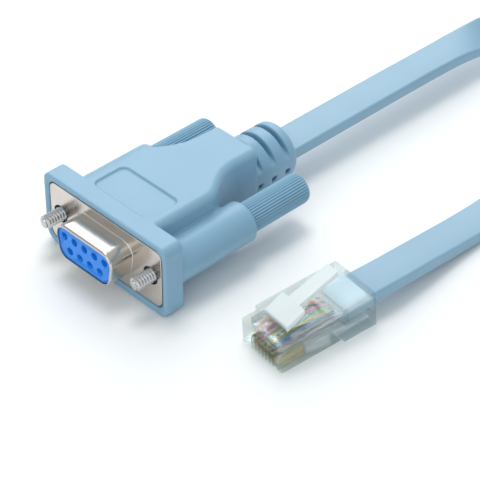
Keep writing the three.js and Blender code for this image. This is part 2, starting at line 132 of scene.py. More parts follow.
class HoodSizes(bpy.types.PropertyGroup):
    """Sizes of the moulded hood."""

    voxel: length("Voxel", "Spacing of the grid that the hood is meshed on", 0.27)
    flange_back: length("Flange depth", "How far the flange reaches behind the plate", 4.2)
    flange_corner: length("Flange corner", "Radius of the flange's corners", 1.6)
    flange_low_corner: length("Lower left corner", "Radius of the flange's lower left corner", 3.2)
    flange_edge: length("Flange edge", "Radius along the flange's edges", 0.45)
    pocket_gap: length("Plate gap", "Gap all round the plate", 0.2)
    pocket_depth: length("Pocket depth", "Depth of the plate's pocket behind its face", 0.9)
    pocket_corner: length("Pocket corner", "Radius of the pocket's corners", 1.6)
    pocket_edge: length("Pocket edge", "Softness of the pocket's edges", 0.12)
    step_width: length("Inner lip width", "Width of the lower lip next to the plate", 0.5)
    step_depth: length("Inner lip depth", "How far the inner lip lies behind the outer one", 0.22)
    body_width: length("Body width", "Width between the body's two sides", 20.6)
    body_length: length("Body length", "Straight length of the body behind the flange", 12.8)
    shoulder_length: length("Shoulder length", "Length over which the body narrows to the neck", 11)
    neck_width: length("Neck width", "Width of the neck", 11.8)
    neck_length: length("Neck length", "Straight length of the neck", 5.3)
    body_fillet: length("Body fillet", "Radius along the body's top and bottom edges", 1.6)
    neck_edge: length("Neck edge", "Radius round the neck's rear end", 0.45)
    crease: length("Crease", "Station behind the plate from which the top slopes down", 24)
    slope: length("Slope", "How far the top sinks from the crease to the neck's end", 0.3)
    barrel_radius: length("Barrel radius", "Radius of the two screw barrels", 4.15)
    barrel_length: length("Barrel length", "Length of the barrels behind the flange", 18.8)
    barrel_blend: length("Barrel blend", "Size of the fillet between barrel and body", 0.9)
    sleeve_gap: length("Sleeve gap", "Gap between a knob and its barrel", 0.22)
    sleeve_depth: length("Sleeve depth", "How far a knob sits inside its barrel", 4.3)
    bore_radius: length("Bore radius", "Radius of the screws' bores", 1.9)
    recess_start: length("Recess start", "Station of the blank label panel behind the plate", 3.9)
    recess_width: length("Recess width", "Width of the blank label panel", 15.2)
    recess_length: length("Recess length", "Length of the blank label panel", 7.9)
    recess_depth: length("Recess depth", "Depth of the blank label panel", 0.4)
    recess_corner: length("Recess corner", "Radius of the panel's corners", 1.4)
    recess_edge: length("Recess edge", "Softness of the panel's edges", 0.25)
    boot_radius: length("Boot radius", "Radius of the slotted boot", 5.85)
    boot_length: length("Boot length", "Length of the boot behind the neck", 11.2)
    boot_root: length("Boot root", "How far the boot starts inside the neck", 2)
    boot_edge: length("Boot edge", "Radius at the boot's rear end", 1.2)
    boot_height: length("Boot height", "Height of the boot's middle over the floor", 7.4)
    groove_count: number("Grooves", "Number of grooves over the boot", 3)
    groove_start: length("First groove", "Middle of the first groove behind the neck", 1.2)
    groove_pitch: length("Groove pitch", "Distance from groove to groove", 3.6)
    groove_width: length("Groove width", "Width of a groove", 1.1)
    groove_depth: length("Groove depth", "Depth of a groove at the boot's top", 2.2)
    groove_foot: length("Groove foot", "Height over the boot's middle where a groove runs out", 1.6)
    groove_edge: length("Groove edge", "Softness of the grooves' edges", 0.2)
    window_size: length("Window size", "Width and height of a side window", 1.2)
    window_drop: length("Window drop", "Height of the windows' middle under the boot's middle", 1.4)
    window_depth: length("Window depth", "Depth of a side window", 2)


class ScrewSizes(bpy.types.PropertyGroup):
    """Sizes of the knobs and screws."""

    ribs: number("Ribs", "Number of ribs round a knob", 36)
    rib_depth: length("Rib depth", "Depth between two ribs", 0.26)
    knob_edge: length("Knob edge", "Radius at a knob's ends", 1.1)
    thread_pitch: length("Thread pitch", "Distance from turn to turn", 0.635)
    thread_depth: length("Thread depth", "Depth of the thread", 0.4)
    point_length: length("Point length", "Length of the cone at the screw's point", 0.45)


class SocketSizes(bpy.types.PropertyGroup):
    """Sizes of the metal shell, the insulator and the contacts."""

    plate_thickness: length("Plate thickness", "Thickness of the plate", 0.6)
    plate_corner: length("Plate corner", "Radius of the plate's corners", 1.6)
    plate_edge: length("Plate edge", "Radius along the plate's edges", 0.15)
    shell_width: length("Shell width", "Width of the D-shaped tube at its broad side", 16.33)
    shell_height: length("Shell height", "Height of the D-shaped tube", 7.9)
    shell_corner: length("Shell corner", "Outer radius of the tube's corners", 2.6)
    shell_slant: angle("Shell slant", "Slant of the tube's two short sides", 10)
    shell_wall: length("Shell wall", "Wall of the tube", 0.4)
    shell_flare: length("Root radius", "Radius where the tube leaves the plate", 0.3)
    shell_lip: length("Lip radius", "Radius of the tube's rounded front", 0.5)
    screw_hole: length("Screw hole", "Radius of the holes that the screws pass", 1.9)
    insulator_recess: length("Insulator recess", "How far the insulator lies behind the rim", 0.25)
    insulator_gap: length("Insulator gap", "Gap between shell and insulator", 0.06)
    contact_pitch: length("Contact pitch", "Distance between contacts in a row", 2.77)
    row_pitch: length("Row pitch", "Distance between the two rows", 2.84)
    hole_mouth: length("Hole mouth", "Radius of a contact hole at the face", 0.82)
    hole_throat: length("Hole throat", "Radius of a contact hole behind its cone", 0.62)
    hole_cone: length("Hole cone", "Depth of a contact hole's cone", 0.9)
    hole_depth: length("Hole depth", "Depth of a contact hole's bore", 4.7)
    block_edge: length("Block edge", "Width of the insulator's softened front edge", 0.15)
    contact_radius: length("Contact radius", "Outer radius of a contact", 0.6)
    contact_bore: length("Contact bore", "Bore of a contact", 0.4)


class CableSizes(bpy.types.PropertyGroup):
    """Sizes of the flat cable and its coil."""

    width: length("Width", "Width of the flat cable", 7.6)
    thickness: length("Thickness", "Thickness of the flat cable", 2.5)
    corner: length("Corner", "Radius along the flat cable's edges", 0.5)
    exit_height: length("Exit height", "Height at which the cable leaves the boot", 6.9)
    root: length("Root", "How far the cable starts inside the boot", 2)
    lead: length("Lead", "Straight length in front of the plug", 3)
    coil_x: length("Coil middle X", "Place of the coil's middle", 29.5)
    coil_y: length("Coil middle Y", "Place of the coil's middle", 134.35)
    coil_outer: length("Outer turn", "Radius at the middle of the coil's outermost turn", 46.2)
    coil_inner: length("Inner turn", "Radius at the middle of the coil's innermost turn", 31.4)
    coil_start: angle("Coil start", "Direction in which the outermost turn starts", 217)
    coil_end: angle("Coil end", "Direction in which the innermost turn ends", 70)
    coil_turns: number("Whole turns", "Whole turns between the two", 5)
    coil_step: angle("Coil step", "Turn from one point of the coil to the next", 15)
    tie_place: angle("Tie place", "Direction in which the tie holds the coil", 90)
    tie_lift: length("Tie lift", "How far the turns rise where the tie passes under them", 0.85)
    tie_reach: angle("Tie reach", "How far along the coil the turns rise beside the tie", 16)
    tie_edge: length("Tie edge", "Radius along the tie's edges", 0.2)
    arc_points: number("Corner points", "Steps round each corner of the cable's section", 4)
    step: length("Step", "Distance from section to section", 3)


class PlugSizes(bpy.types.PropertyGroup):
    """Sizes of the clear plug."""

    mount_height: length("Nose point height", "Height of the nose's mount over the plug's lower face", 4)
    edge: length("Edge", "Radius along the plug's edges", 0.18)
    body_length: length("Plug length", "Length of the plug's body", 21.6)
    entry_height: length("Entry height", "Height of the cable's middle in the plug", 3.1)
    grip: length("Jacket grip", "How far the jacket reaches into the plug", 6.3)
    wire_pitch: length("Wire pitch", "Distance from wire to wire at the nose", 1.02)
    wire_bunch: length("Bunched pitch", "Distance from wire to wire at the jacket", 0.86)
    wire_radius: length("Wire radius", "Radius of a wire", 0.43)
    wire_lift: length("Wire lift", "How far the wires rise behind the blades", 0.9)
    wire_root: length("Wire root", "How far the wires start inside the jacket", 0.4)
    wire_rise: length("Wire rise", "Length over which the wires rise and spread", 5)
    wire_bend: length("Wire bend", "Length of the bends where the wires rise", 1.8)
    wire_stop: length("Wire stop", "Distance from the nose to the wires' ends", 1.3)
    blade_thickness: length("Blade thickness", "Thickness of a contact blade", 0.3)
    blade_height: length("Blade height", "Height of a contact blade", 2.2)
    blade_length: length("Blade length", "Length of a contact blade", 5.4)
    blade_inset: length("Blade inset", "Distance from the nose to the blades", 0.7)
    blade_recess: length("Blade recess", "Height of the blades over the lower face", 0.35)
    blade_edge: length("Blade edge", "Radius along a blade's edges", 0.06)


class Finishes(bpy.types.PropertyGroup):
    """Colours of the finishes."""

    pvc: colour("Hood blue", "Colour of the hood and the knobs", 131, 171, 195)
    jacket: colour("Jacket blue", "Colour of the cable's jacket", 135, 171, 193)
    nickel: colour("Nickel", "Colour of the plated shell", 214, 206, 198)
    steel: colour("Steel", "Colour of the screws", 196, 196, 196)
    insulator: colour("Insulator blue", "Colour of the insulator", 24, 136, 236)
    gold: colour("Gold", "Colour of the contacts", 226, 200, 140)
    tie: colour("Tie black", "Colour of the tie", 30, 32, 36)
    clear: colour("Clear plastic", "Colour of the clear plug", 246, 251, 251)
    wire_1: colour("Wire 1", "Colour of the first wire", 154, 158, 163)
    wire_2: colour("Wire 2", "Colour of the second wire", 224, 118, 47)
    wire_3: colour("Wire 3", "Colour of the third wire", 58, 63, 70)
    wire_4: colour("Wire 4", "Colour of the fourth wire", 194, 58, 102)
    wire_5: colour("Wire 5", "Colour of the fifth wire", 47, 154, 114)
    wire_6: colour("Wire 6", "Colour of the sixth wire", 201, 181, 58)
    wire_7: colour("Wire 7", "Colour of the seventh wire", 63, 134, 201)
    wire_8: colour("Wire 8", "Colour of the eighth wire", 138, 106, 122)
    body_clearness: share("Body clearness", "Light that passes straight through the plug's walls", 0.6)
    body_milk: share("Body milkiness", "How milky the plug's walls are", 0)
    latch_clearness: share("Latch clearness", "Light that passes straight through the latch", 0.2)
    latch_milk: share("Latch milkiness", "How milky the latch is", 0.85)


class StageSizes(bpy.types.PropertyGroup):
    """Camera, floor and lights."""

    camera_azimuth: angle("Azimuth", "Direction that the camera looks from", 46.23)
    camera_elevation: angle("Elevation", "Camera's height as an angle", 38.58)
    camera_place: bpy.props.FloatVectorProperty(
        name="Camera place", description="Where the camera stands",
        default=(0.24481, -0.21985, 0.26029), size=3, subtype="XYZ", unit="LENGTH"
    )
    focal_length: bpy.props.FloatProperty(
        name="Focal length", description="Focal length on a 36 mm sensor", default=165, unit="CAMERA"
    )
    floor_size: length("Floor size", "Side of the square floor", 4000)
    key_power: power("Key light", "Power of the large light over the object", 1.5)
    card_power: power("Card light", "Power of the broad card that the tops reflect", 2.6)
    fill_power: power("Fill light", "Power of the soft light from the front", 1)
    world_tint: colour("Surroundings' tint", "Colour of the pale surroundings", 240, 250, 255)
    world_strength: bpy.props.FloatProperty(
        name="Surroundings", description="Brightness of the white surroundings", default=0.62
    )


def rounded_meet(a, b, radius):
    """Distance to where two shapes overlap, with a round edge of that radius."""
    a, b = a + radius, b + radius
    outside = np.hypot(np.maximum(a, 0), np.maximum(b, 0))
    return np.minimum(np.maximum(a, b), 0) + outside - radius


def smooth_join(a, b, blend):
    """Distance to two shapes together, with a fillet of about that size."""
    part = np.clip(0.5 + 0.5 * (b - a) / blend, 0, 1)
    return b + (a - b) * part - blend * part * (1 - part)


def smooth_cut(whole, cutter, blend):
    """Distance to a shape without another one, with softened edges."""
    return -smooth_join(-whole, cutter, blend)


def rounded_rectangle(u, v, half_u, half_v, radius):
    """Distance to a rectangle round the origin with rounded corners."""
    return rounded_meet(np.abs(u) - half_u, np.abs(v) - half_v, radius)


def span(value, low, high):
    """Distance to a slab between two stations."""
    return np.maximum(low - value, value - high)


def surface_cells(field):
    """Cells that the surface passes through, and each one's number, or -1."""
    inside = field < 0
    count = sum(
        inside[i:i - 1 or None, j:j - 1 or None, k:k - 1 or None].astype(np.int8)
        for i in (0, 1) for j in (0, 1) for k in (0, 1)
    )
    active = (count > 0) & (count < 8)
    index = np.full(active.shape, -1)
    index[active] = np.arange(active.sum())
    return inside, np.argwhere(active), index


def crossing_points(field, cells):
    """For each cell, the mean of the points where the surface cuts its edges."""
    corners = np.array([(i, j, k) for i in (0, 1) for j in (0, 1) for k in (0, 1)])
    at = cells[:, None, :] + corners[None, :, :]
    values = field[at[..., 0], at[..., 1], at[..., 2]]
    total = np.zeros((len(cells), 3))
    hits = np.zeros(len(cells))
    for first, corner in enumerate(corners):
        for axis, stride in enumerate((4, 2, 1)):
            if corner[axis]:
                continue
            a, b = values[:, first], values[:, first + stride]
            cut = (a < 0) != (b < 0)
            point = np.tile(corner.astype(float), (len(cells), 1))
            point[:, axis] += np.where(cut, a / np.where(cut, a - b, 1), 0)
            total += point * cut[:, None]
            hits += cut
    return cells + total / hits[:, None]


def surface_quads(inside, index):
    """Four cells round each grid edge that the surface cuts, facing outwards."""
    quads = []
    for axis in range(3):
        u, v = np.eye(3, dtype=int)[(axis + 1) % 3], np.eye(3, dtype=int)[(axis + 2) % 3]
        before = np.take(inside, range(inside.shape[axis] - 1), axis)
        after = np.take(inside, range(1, inside.shape[axis]), axis)
        at = np.argwhere(before != after)
        around = [at, at - u, at - u - v, at - v]
        quad = np.stack([index[tuple(cell.T)] for cell in around], 1)
        leaving = before[tuple(at.T)]
        quad[~leaving] = quad[~leaving][:, ::-1]
        quads.append(quad)
    return np.concatenate(quads)


# Settling of a meshed surface: its rounds, each round's pulls, how far a point goes towards
# its neighbours' mean, and a pull's probe and longest move as shares of a voxel.
SETTLE_ROUNDS = 4
PULLS = 2
EVENING = 0.5
PROBE = 0.2
LONGEST_MOVE = 0.5
LEAST_STEEPNESS = 0.2


def pulled_on(points, distance, voxel):
    """The points moved along the distance's slope until they lie on the surface."""
    reach, furthest = PROBE * voxel, LONGEST_MOVE * voxel
    for _ in range(PULLS):
        here = distance(*points.T)
        slope = np.stack([
            distance(*(points + reach * axis).T) - distance(*(points - reach * axis).T)
            for axis in np.eye(3)
        ], 1) / (2 * reach)
        steepness = np.maximum((slope ** 2).sum(1), LEAST_STEEPNESS)
        move = -slope * (here / steepness)[:, None]
        size = np.linalg.norm(move, axis=1, keepdims=True)
        points = points + move * np.minimum(1, furthest / np.maximum(size, 1e-12))
    return points


def settle(points, quads, distance, voxel):
    """Evens out the mesh along the surface and keeps every point on it."""
    edges = np.concatenate([quads[:, [i, (i + 1) % 4]] for i in range(4)])
    edges = np.unique(np.sort(edges, 1), axis=0)
    start, end = np.concatenate([edges, edges[:, ::-1]]).T
    neighbours = np.bincount(start, minlength=len(points))
    for _ in range(SETTLE_ROUNDS):
        total = np.stack([np.bincount(start, points[end, i], len(points)) for i in range(3)], 1)
        points = points + EVENING * (total / neighbours[:, None] - points)
        points = pulled_on(points, distance, voxel)
    return points


def meshed_distance(name, low, high, voxel, distance):
    """A closed mesh round all points where the distance function is negative."""
    low = np.array(low) - 2 * voxel
    counts = np.ceil((np.array(high) + 2 * voxel - low) / voxel).astype(int) + 1
    axes = [low[i] + voxel * np.arange(counts[i]) for i in range(3)]
    field = distance(*np.meshgrid(*axes, indexing="ij"))
    inside, cells, index = surface_cells(field)
    points = low + voxel * crossing_points(field, cells)
    quads = surface_quads(inside, index)
    return mesh_object(name, settle(points, quads, distance, voxel), quads)


def new_object(name, data):
    """A new object in the scene."""
    made = bpy.data.objects.new(name, data)
    bpy.context.scene.collection.objects.link(made)
    return made


def mesh_object(name, points, faces):
    """A new object, smooth-shaded, from points and faces."""
    mesh = bpy.data.meshes.new(name)
    mesh.from_pydata([tuple(p) for p in points], [], [tuple(int(i) for i in f) for f in faces])
    mesh.validate()
    piece = new_object(name, mesh)
    shade(piece)
    return piece


def shade(piece, sharp=None):
    """Smooth shading, with edges sharper than the given angle left sharp."""
    mesh = piece.data
    mesh.polygons.foreach_set("use_smooth", [True] * len(mesh.polygons))
    if sharp is not None:
        mesh.set_sharp_from_angle(angle=sharp)
    mesh.update()


def tidy_mesh(piece):
    """Merges doubles and turns every face outwards."""
    work = bmesh.new()
    work.from_mesh(piece.data)
    bmesh.ops.remove_doubles(work, verts=work.verts, dist=MERGE)
    bmesh.ops.recalc_face_normals(work, faces=work.faces)
    work.to_mesh(piece.data)
    work.free()


def from_node(name, node):
    """A merged copy of a CAD node's mesh with its flat stretches made whole."""
    source = frame["nodes"][node].data.copy()
    piece = new_object(name, source)
    work = bmesh.new()
    work.from_mesh(source)
    bmesh.ops.remove_doubles(work, verts=work.verts, dist=CAD_MERGE)
    bmesh.ops.dissolve_limit(work, angle_limit=math.radians(0.5), verts=work.verts, edges=work.edges)
    work.to_mesh(source)
    work.free()
    source.materials.clear()
    shade(piece, sharp=math.radians(20))
    return piece


def bevelled(piece, width):
    """Rounds the edges of a piece."""
    edge = piece.modifiers.new("Edge", "BEVEL")
    edge.width = width
    edge.segments = 2
    edge.limit_method = "ANGLE"
    edge.angle_limit = math.radians(25)
    edge.harden_normals = True
    return piece


def finish_piece(piece, body, material_slot, finish, *nodes):
    """Gives a piece its finish and its body, and hides the CAD nodes that it stands for."""
    piece.data.materials.clear()
    piece.data.materials.append(finish)
    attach(piece, body)
    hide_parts(*nodes)
    return piece


class Tree:
    """A small geometry tree with named inputs, built from the output backwards."""

    def __init__(self, name, **inputs):
        self.group = bpy.data.node_groups.new(name, "GeometryNodeTree")
        face = self.group.interface
        self.source = self.group.nodes.new("NodeGroupInput")
        self.drain = self.group.nodes.new("NodeGroupOutput")
        face.new_socket("Geometry", in_out="OUTPUT", socket_type="NodeSocketGeometry")
        face.new_socket("Geometry", in_out="INPUT", socket_type="NodeSocketGeometry")
        self.identifiers = {}
        for label, (kind, _) in inputs.items():
            socket = face.new_socket(label, in_out="INPUT", socket_type="NodeSocket" + kind)
            self.identifiers[label] = socket.identifier
        self.values = {label: value for label, (_, value) in inputs.items()}

    def input(self, label):
        """The value of one of the tree's named inputs."""
        return self.source.outputs[label]

    def add(self, kind, settings=None, **sockets):
        """A node with its settings and its inputs, each by its label or number."""
        node = self.group.nodes.new(kind)
        for key, value in (settings or {}).items():
            setattr(node, key, value)
        for key, value in sockets.items():
            self.feed(node, key.replace("_", " "), value)
        return node

    def feed(self, node, key, value):
        """Sets one input by its label, or by its number as n0, n1 and so on."""
        socket = node.inputs[int(key[1:])] if key[0] == "n" and key[1:].isdigit() else node.inputs[key]
        for one in value if isinstance(value, list) else [value]:
            self.join(one, socket)

    def join(self, value, socket):
        """Links another node's output to an input, or sets a plain value on it."""
        if isinstance(value, bpy.types.NodeSocket):
            self.group.links.new(value, socket)
        else:
            socket.default_value = value

    def calc(self, operation, *values):
        """The result of one sum."""
        node = self.group.nodes.new("ShaderNodeMath")
        node.operation = operation
        for socket, value in zip(node.inputs, values):
            self.join(value, socket)
        return node.outputs[0]

    def vector(self, x, y, z):
        """A vector put together from three values."""
        node = self.group.nodes.new("ShaderNodeCombineXYZ")
        for socket, value in zip(node.inputs, (x, y, z)):
            self.join(value, socket)
        return node.outputs[0]

    def parts(self, vector):
        """The three values that a vector is made of."""
        node = self.group.nodes.new("ShaderNodeSeparateXYZ")
        self.group.links.new(vector, node.inputs[0])
        return node.outputs

    def position(self):
        return self.group.nodes.new("GeometryNodeInputPosition").outputs[0]

    def place(self, geometry, position):
        """The geometry with each of its points put in a new place."""
        return self.add("GeometryNodeSetPosition", Geometry=geometry, Position=position).outputs[0]

    def end(self, geometry, finish):
        """Realizes, shades and paints the geometry, and sends it out."""
        real = self.add("GeometryNodeRealizeInstances", Geometry=geometry).outputs[0]
        smooth = self.add("GeometryNodeSetShadeSmooth", Geometry=real).outputs[0]
        painted = self.add("GeometryNodeSetMaterial", Geometry=smooth, Material=finish).outputs[0]
        self.group.links.new(painted, self.drain.inputs[0])

    def piece(self, name, place=None, sharp=math.radians(40), carrier=None):
        """Runs the tree on a carrier and returns its result as a plain mesh in place."""
        if carrier is None:
            carrier = new_object(name + "_carrier", bpy.data.meshes.new(name))
        modifier = carrier.modifiers.new(self.group.name, "NODES")
        modifier.node_group = self.group
        for label, value in self.values.items():
            modifier[self.identifiers[label]] = value
        graph = bpy.context.evaluated_depsgraph_get()
        mesh = bpy.data.meshes.new_from_object(carrier.evaluated_get(graph), depsgraph=graph)
        carrier.modifiers.remove(modifier)
        bpy.data.objects.remove(carrier)
        mesh.name = name
        piece = new_object(name, mesh)
        if place is not None:
            mesh.transform(place)
        tidy_mesh(piece)
        shade(piece, sharp)
        return piece


class Finish:
    """A procedural material round one main shader."""

    def __init__(self, name, base, roughness, metallic=0):
        self.material = bpy.data.materials.new(name)
        self.material.use_nodes = True
        self.material.diffuse_color = (*base, 1)
        self.nodes = self.material.node_tree.nodes
        self.links = self.material.node_tree.links
        self.shader = self.nodes["Principled BSDF"]
        self.base = base
        self.set(self.shader, {"Base Color": (*base, 1), "Roughness": roughness, "Metallic": metallic})

    def set(self, node, values):
        for label, value in values.items():
            node.inputs[label].default_value = value

    def noise(self, scale, detail=3, stretch=None):
        """Noise on Object coordinates, with its scale in repeats per metre."""
        place = self.nodes.new("ShaderNodeTexCoord").outputs["Object"]
        if stretch is not None:
            mapping = self.nodes.new("ShaderNodeMapping")
            self.set(mapping, {"Scale": stretch})
            self.links.new(place, mapping.inputs["Vector"])
            place = mapping.outputs["Vector"]
        texture = self.nodes.new("ShaderNodeTexNoise")
        self.set(texture, {"Scale": scale, "Detail": detail})
        self.links.new(place, texture.inputs["Vector"])
        return texture.outputs["Fac"]

    def vary_colour(self, field, amount):
        """Lets the base colour wander a little, darker and lighter."""
        ramp = self.nodes.new("ShaderNodeValToRGB")
        for element, factor in zip(ramp.color_ramp.elements, (1 - amount, 1 + amount)):
            element.color = (*(min(1, channel * factor) for channel in self.base), 1)
        ramp.color_ramp.elements[0].position = 0.3
        ramp.color_ramp.elements[1].position = 0.7
        self.links.new(field, ramp.inputs["Fac"])
        self.links.new(ramp.outputs["Color"], self.shader.inputs["Base Color"])

    def vary_gloss(self, field, low, high):
        """Lets the roughness wander from low to high."""
        spread = self.nodes.new("ShaderNodeMapRange")
        self.set(spread, {"To Min": low, "To Max": high})
        self.links.new(field, spread.inputs["Value"])
        self.links.new(spread.outputs["Result"], self.shader.inputs["Roughness"])

    def roughen(self, field, strength, depth):
        """Raises and sinks the surface a little by the field."""
        bump = self.nodes.new("ShaderNodeBump")
        self.set(bump, {"Strength": strength, "Distance": depth})
        self.links.new(field, bump.inputs["Height"])
        self.links.new(bump.outputs["Normal"], self.shader.inputs["Normal"])


def moulded_finish(name, base, roughness=0.38, grain=9000):
    """Satin moulded plastic: faint colour drift, fine grain, uneven gloss."""
    finish = Finish(name, base, roughness=roughness)
    finish.vary_colour(finish.noise(scale=120), amount=0.02)
    finish.vary_gloss(finish.noise(scale=900), low=roughness - 0.06, high=roughness + 0.06)
    finish.roughen(finish.noise(scale=grain), strength=0.15, depth=0.02 * MM)
    finish.set(finish.shader, {
        "Specular IOR Level": 0.5,
        "Subsurface Weight": 0.08,
        "Subsurface Radius": (0.6, 0.9, 1),
        "Subsurface Scale": 1.2 * MM,
    })
    return finish.material


def plated_finish(name, base, low, high):
    """Bright metal with a faint rolled grain and uneven gloss."""
    finish = Finish(name, base, roughness=low, metallic=1)
    finish.vary_colour(finish.noise(scale=300), amount=0.04)
    finish.vary_gloss(finish.noise(scale=1500, detail=4), low, high)
    finish.roughen(finish.noise(scale=4000, detail=4), strength=0.1, depth=0.008 * MM)
    return finish.material


def clear_finish(name, base, see_through, milkiness):
    """Clear polycarbonate: a glossy skin over a body that lets light straight through."""
    finish = Finish(name, base, roughness=0.04)
    finish.set(finish.shader, {"Transmission Weight": 1 - milkiness, "IOR": 1.46})
    finish.vary_gloss(finish.noise(scale=400), low=0, high=0.03)
    finish.roughen(finish.noise(scale=250), strength=0.04, depth=0.02 * MM)
    through = finish.nodes.new("ShaderNodeBsdfTransparent")
    mix = finish.nodes.new("ShaderNodeMixShader")
    finish.set(through, {"Color": (*base, 1)})
    finish.set(mix, {"Fac": see_through})
    finish.links.new(finish.shader.outputs["BSDF"], mix.inputs[1])
    finish.links.new(through.outputs["BSDF"], mix.inputs[2])
    finish.links.new(mix.outputs["Shader"], finish.nodes["Material Output"].inputs["Surface"])
    return finish.material


def tie_finish(name, base):
    """Dull black tie with a fine cross grain."""
    finish = Finish(name, base, roughness=0.85)
    finish.vary_colour(finish.noise(scale=2500), amount=0.3)
    fibres = finish.noise(scale=5000, detail=5, stretch=(1, 3, 3))
    finish.roughen(fibres, strength=0.5, depth=0.1 * MM)
    finish.set(finish.shader, {"Sheen Weight": 0.3})
    return finish.material


# Steps round the corners, edges and holes of the pressed shell.
SHELL_CORNER_STEPS = 8
PLATE_CORNER_STEPS = 6
EDGE_STEPS = 5
HOLE_STEPS = 32


def keystone(sizes, inset):
    """Points of the socket's D-shaped outline in X and Z, shrunk all round by inset."""
    slant = sizes.shell_slant
    y = sizes.shell_height / 2 - inset
    top = sizes.shell_width / 2 - inset / math.cos(slant) + inset * math.tan(slant)
    foot = top - 2 * y * math.tan(slant)
    radius = sizes.shell_corner - inset
    corners = [(-foot, -y), (foot, -y), (top, y), (-top, y)]
    return rounded_outline(corners, radius, SHELL_CORNER_STEPS)


def rounded_outline(corners, radius, arc_points):
    """Points along a closed outline whose corners are all rounded alike."""
    points = []
    for i, corner in enumerate(corners):
        here = Vector(corner)
        back = (Vector(corners[i - 1]) - here).normalized()
        on = (Vector(corners[(i + 1) % len(corners)]) - here).normalized()
        half = back.angle(on) / 2
        middle = here + (back + on).normalized() * (radius / math.sin(half))
        start = here + back * (radius / math.tan(half)) - middle
        end = here + on * (radius / math.tan(half)) - middle
        first = math.atan2(start.y, start.x)
        turn = (math.atan2(end.y, end.x) - first) % (2 * math.pi)
        for j in range(arc_points + 1):
            at = first + turn * j / arc_points
            points.append((middle.x + radius * math.cos(at), middle.y + radius * math.sin(at)))
    return points


def circle_outline(x, z, radius):
    """Points round a circle in X and Z."""
    turns = [2 * math.pi * i / HOLE_STEPS for i in range(HOLE_STEPS)]
    return [(x + radius * math.cos(turn), z + radius * math.sin(turn)) for turn in turns]


class PartBuilder:
    """Collects rings of points and the faces between them."""

    def __init__(self):
        self.work = bmesh.new()

    def ring(self, outline, y):
        """A closed ring of vertices from X and Z points, at a station along Y."""
        return [self.work.verts.new((x, y, z + AXIS_Z)) for x, z in outline]

    def skin(self, first, second):
        """Quads between two rings of the same count."""
        for i, vertex in enumerate(first):
            j = (i + 1) % len(first)
            self.work.faces.new((vertex, first[j], second[j], second[i]))

    def skins(self, rings):
        for first, second in zip(rings, rings[1:]):
            self.skin(first, second)

    def fill(self, *rings):
        """Flat face between an outer ring and the holes in it."""
        edges = []
        for ring in rings:
            for i, vertex in enumerate(ring):
                pair = (vertex, ring[(i + 1) % len(ring)])
                edges.append(self.work.edges.get(pair) or self.work.edges.new(pair))
        bmesh.ops.triangle_fill(self.work, edges=edges, use_beauty=True, use_dissolve=False)

    def object(self, name):
        """Ends the collecting and makes the object."""
        bmesh.ops.recalc_face_normals(self.work, faces=self.work.faces)
        mesh = bpy.data.meshes.new(name)
        self.work.to_mesh(mesh)
        self.work.free()
        piece = new_object(name, mesh)
        shade(piece, sharp=math.radians(50))
        weighted = piece.modifiers.new("Even shading", "WEIGHTED_NORMAL")
        weighted.keep_sharp = True
        return piece


# Stations of the middle two control points of the shoulder's S-curve, in its length.
SHOULDER_CONTROLS = (0.25, 0.5)
SHOULDER_STEPS = 60


def neck_end(sizes):
    """Station behind the plate where the neck ends and the boot shows."""
    return sizes.flange_back + sizes.body_length + sizes.shoulder_length + sizes.neck_length


def hood_width(sizes, y):
    """Half the hood's width at each station behind the plate, along its S-curve."""
    wide, narrow = sizes.body_width / 2, sizes.neck_width / 2
    near, far = SHOULDER_CONTROLS
    t = np.linspace(0, 1, SHOULDER_STEPS)
    along = 3 * (1 - t) ** 2 * t * near + 3 * (1 - t) * t ** 2 * far + t ** 3
    stations = sizes.flange_back + sizes.body_length + sizes.shoulder_length * along
    halves = wide + (narrow - wide) * (3 * (1 - t) * t ** 2 + t ** 3)
    return np.interp(y, stations, halves)


def hood_body(sizes, x, y, z):
    """Body and neck: an S-shaped plan with rounded top and bottom edges."""
    step = 0.1 * MM
    end = neck_end(sizes)
    lean = (hood_width(sizes, y + step) - hood_width(sizes, y - step)) / (2 * step)
    side = (np.abs(x) - hood_width(sizes, y)) / np.sqrt(1 + lean ** 2)
    drop = sizes.slope * np.clip((y - sizes.crease) / (end - sizes.crease), 0, 1)
    sides = rounded_meet(side, np.abs(z) - AXIS_Z + drop, sizes.body_fillet)
    return rounded_meet(sides, span(y, sizes.pocket_depth, end), sizes.neck_edge)


def hood_barrels(sizes, x, y, z):
    """The two round barrels beside the body that the thumbscrews sit in."""
    radius = np.hypot(np.abs(x) - SCREW_X, z)
    end = sizes.flange_back + sizes.barrel_length
    along = span(y, sizes.flange_back / 2, end)
    return rounded_meet(radius - sizes.barrel_radius, along, sizes.flange_edge)


def hood_flange(sizes, x, y, z):
    """Flange: a block with rounded corners, of which the lower left one is wider."""
    low_left = (x < 0) & (z < 0)
    corner = np.where(low_left, sizes.flange_low_corner, sizes.flange_corner)
    front = HOOD_LOW.y - PLATE_Y
    outline = rounded_rectangle(x, z, HOOD_HIGH.x, AXIS_Z, corner)
    return rounded_meet(outline, span(y, front, sizes.flange_back), sizes.flange_edge)


def hood_pocket(sizes, x, y, z):
    """Pocket that the plate lies in, with its stepped border."""
    plate_x, plate_z = SHELL_HIGH.x + sizes.pocket_gap, (SHELL_HIGH.z - SHELL_LOW.z) / 2 + sizes.pocket_gap
    front = HOOD_LOW.y - PLATE_Y
    step, corner = sizes.step_width, sizes.pocket_corner
    deep = rounded_rectangle(x, z, plate_x, plate_z, corner)
    wide = rounded_rectangle(x, z, plate_x + step, plate_z + step, corner + step)
    pocket = np.maximum(deep, y - sizes.pocket_depth)
    lip = np.maximum(wide, y - front - sizes.step_depth)
    return np.minimum(pocket, lip)


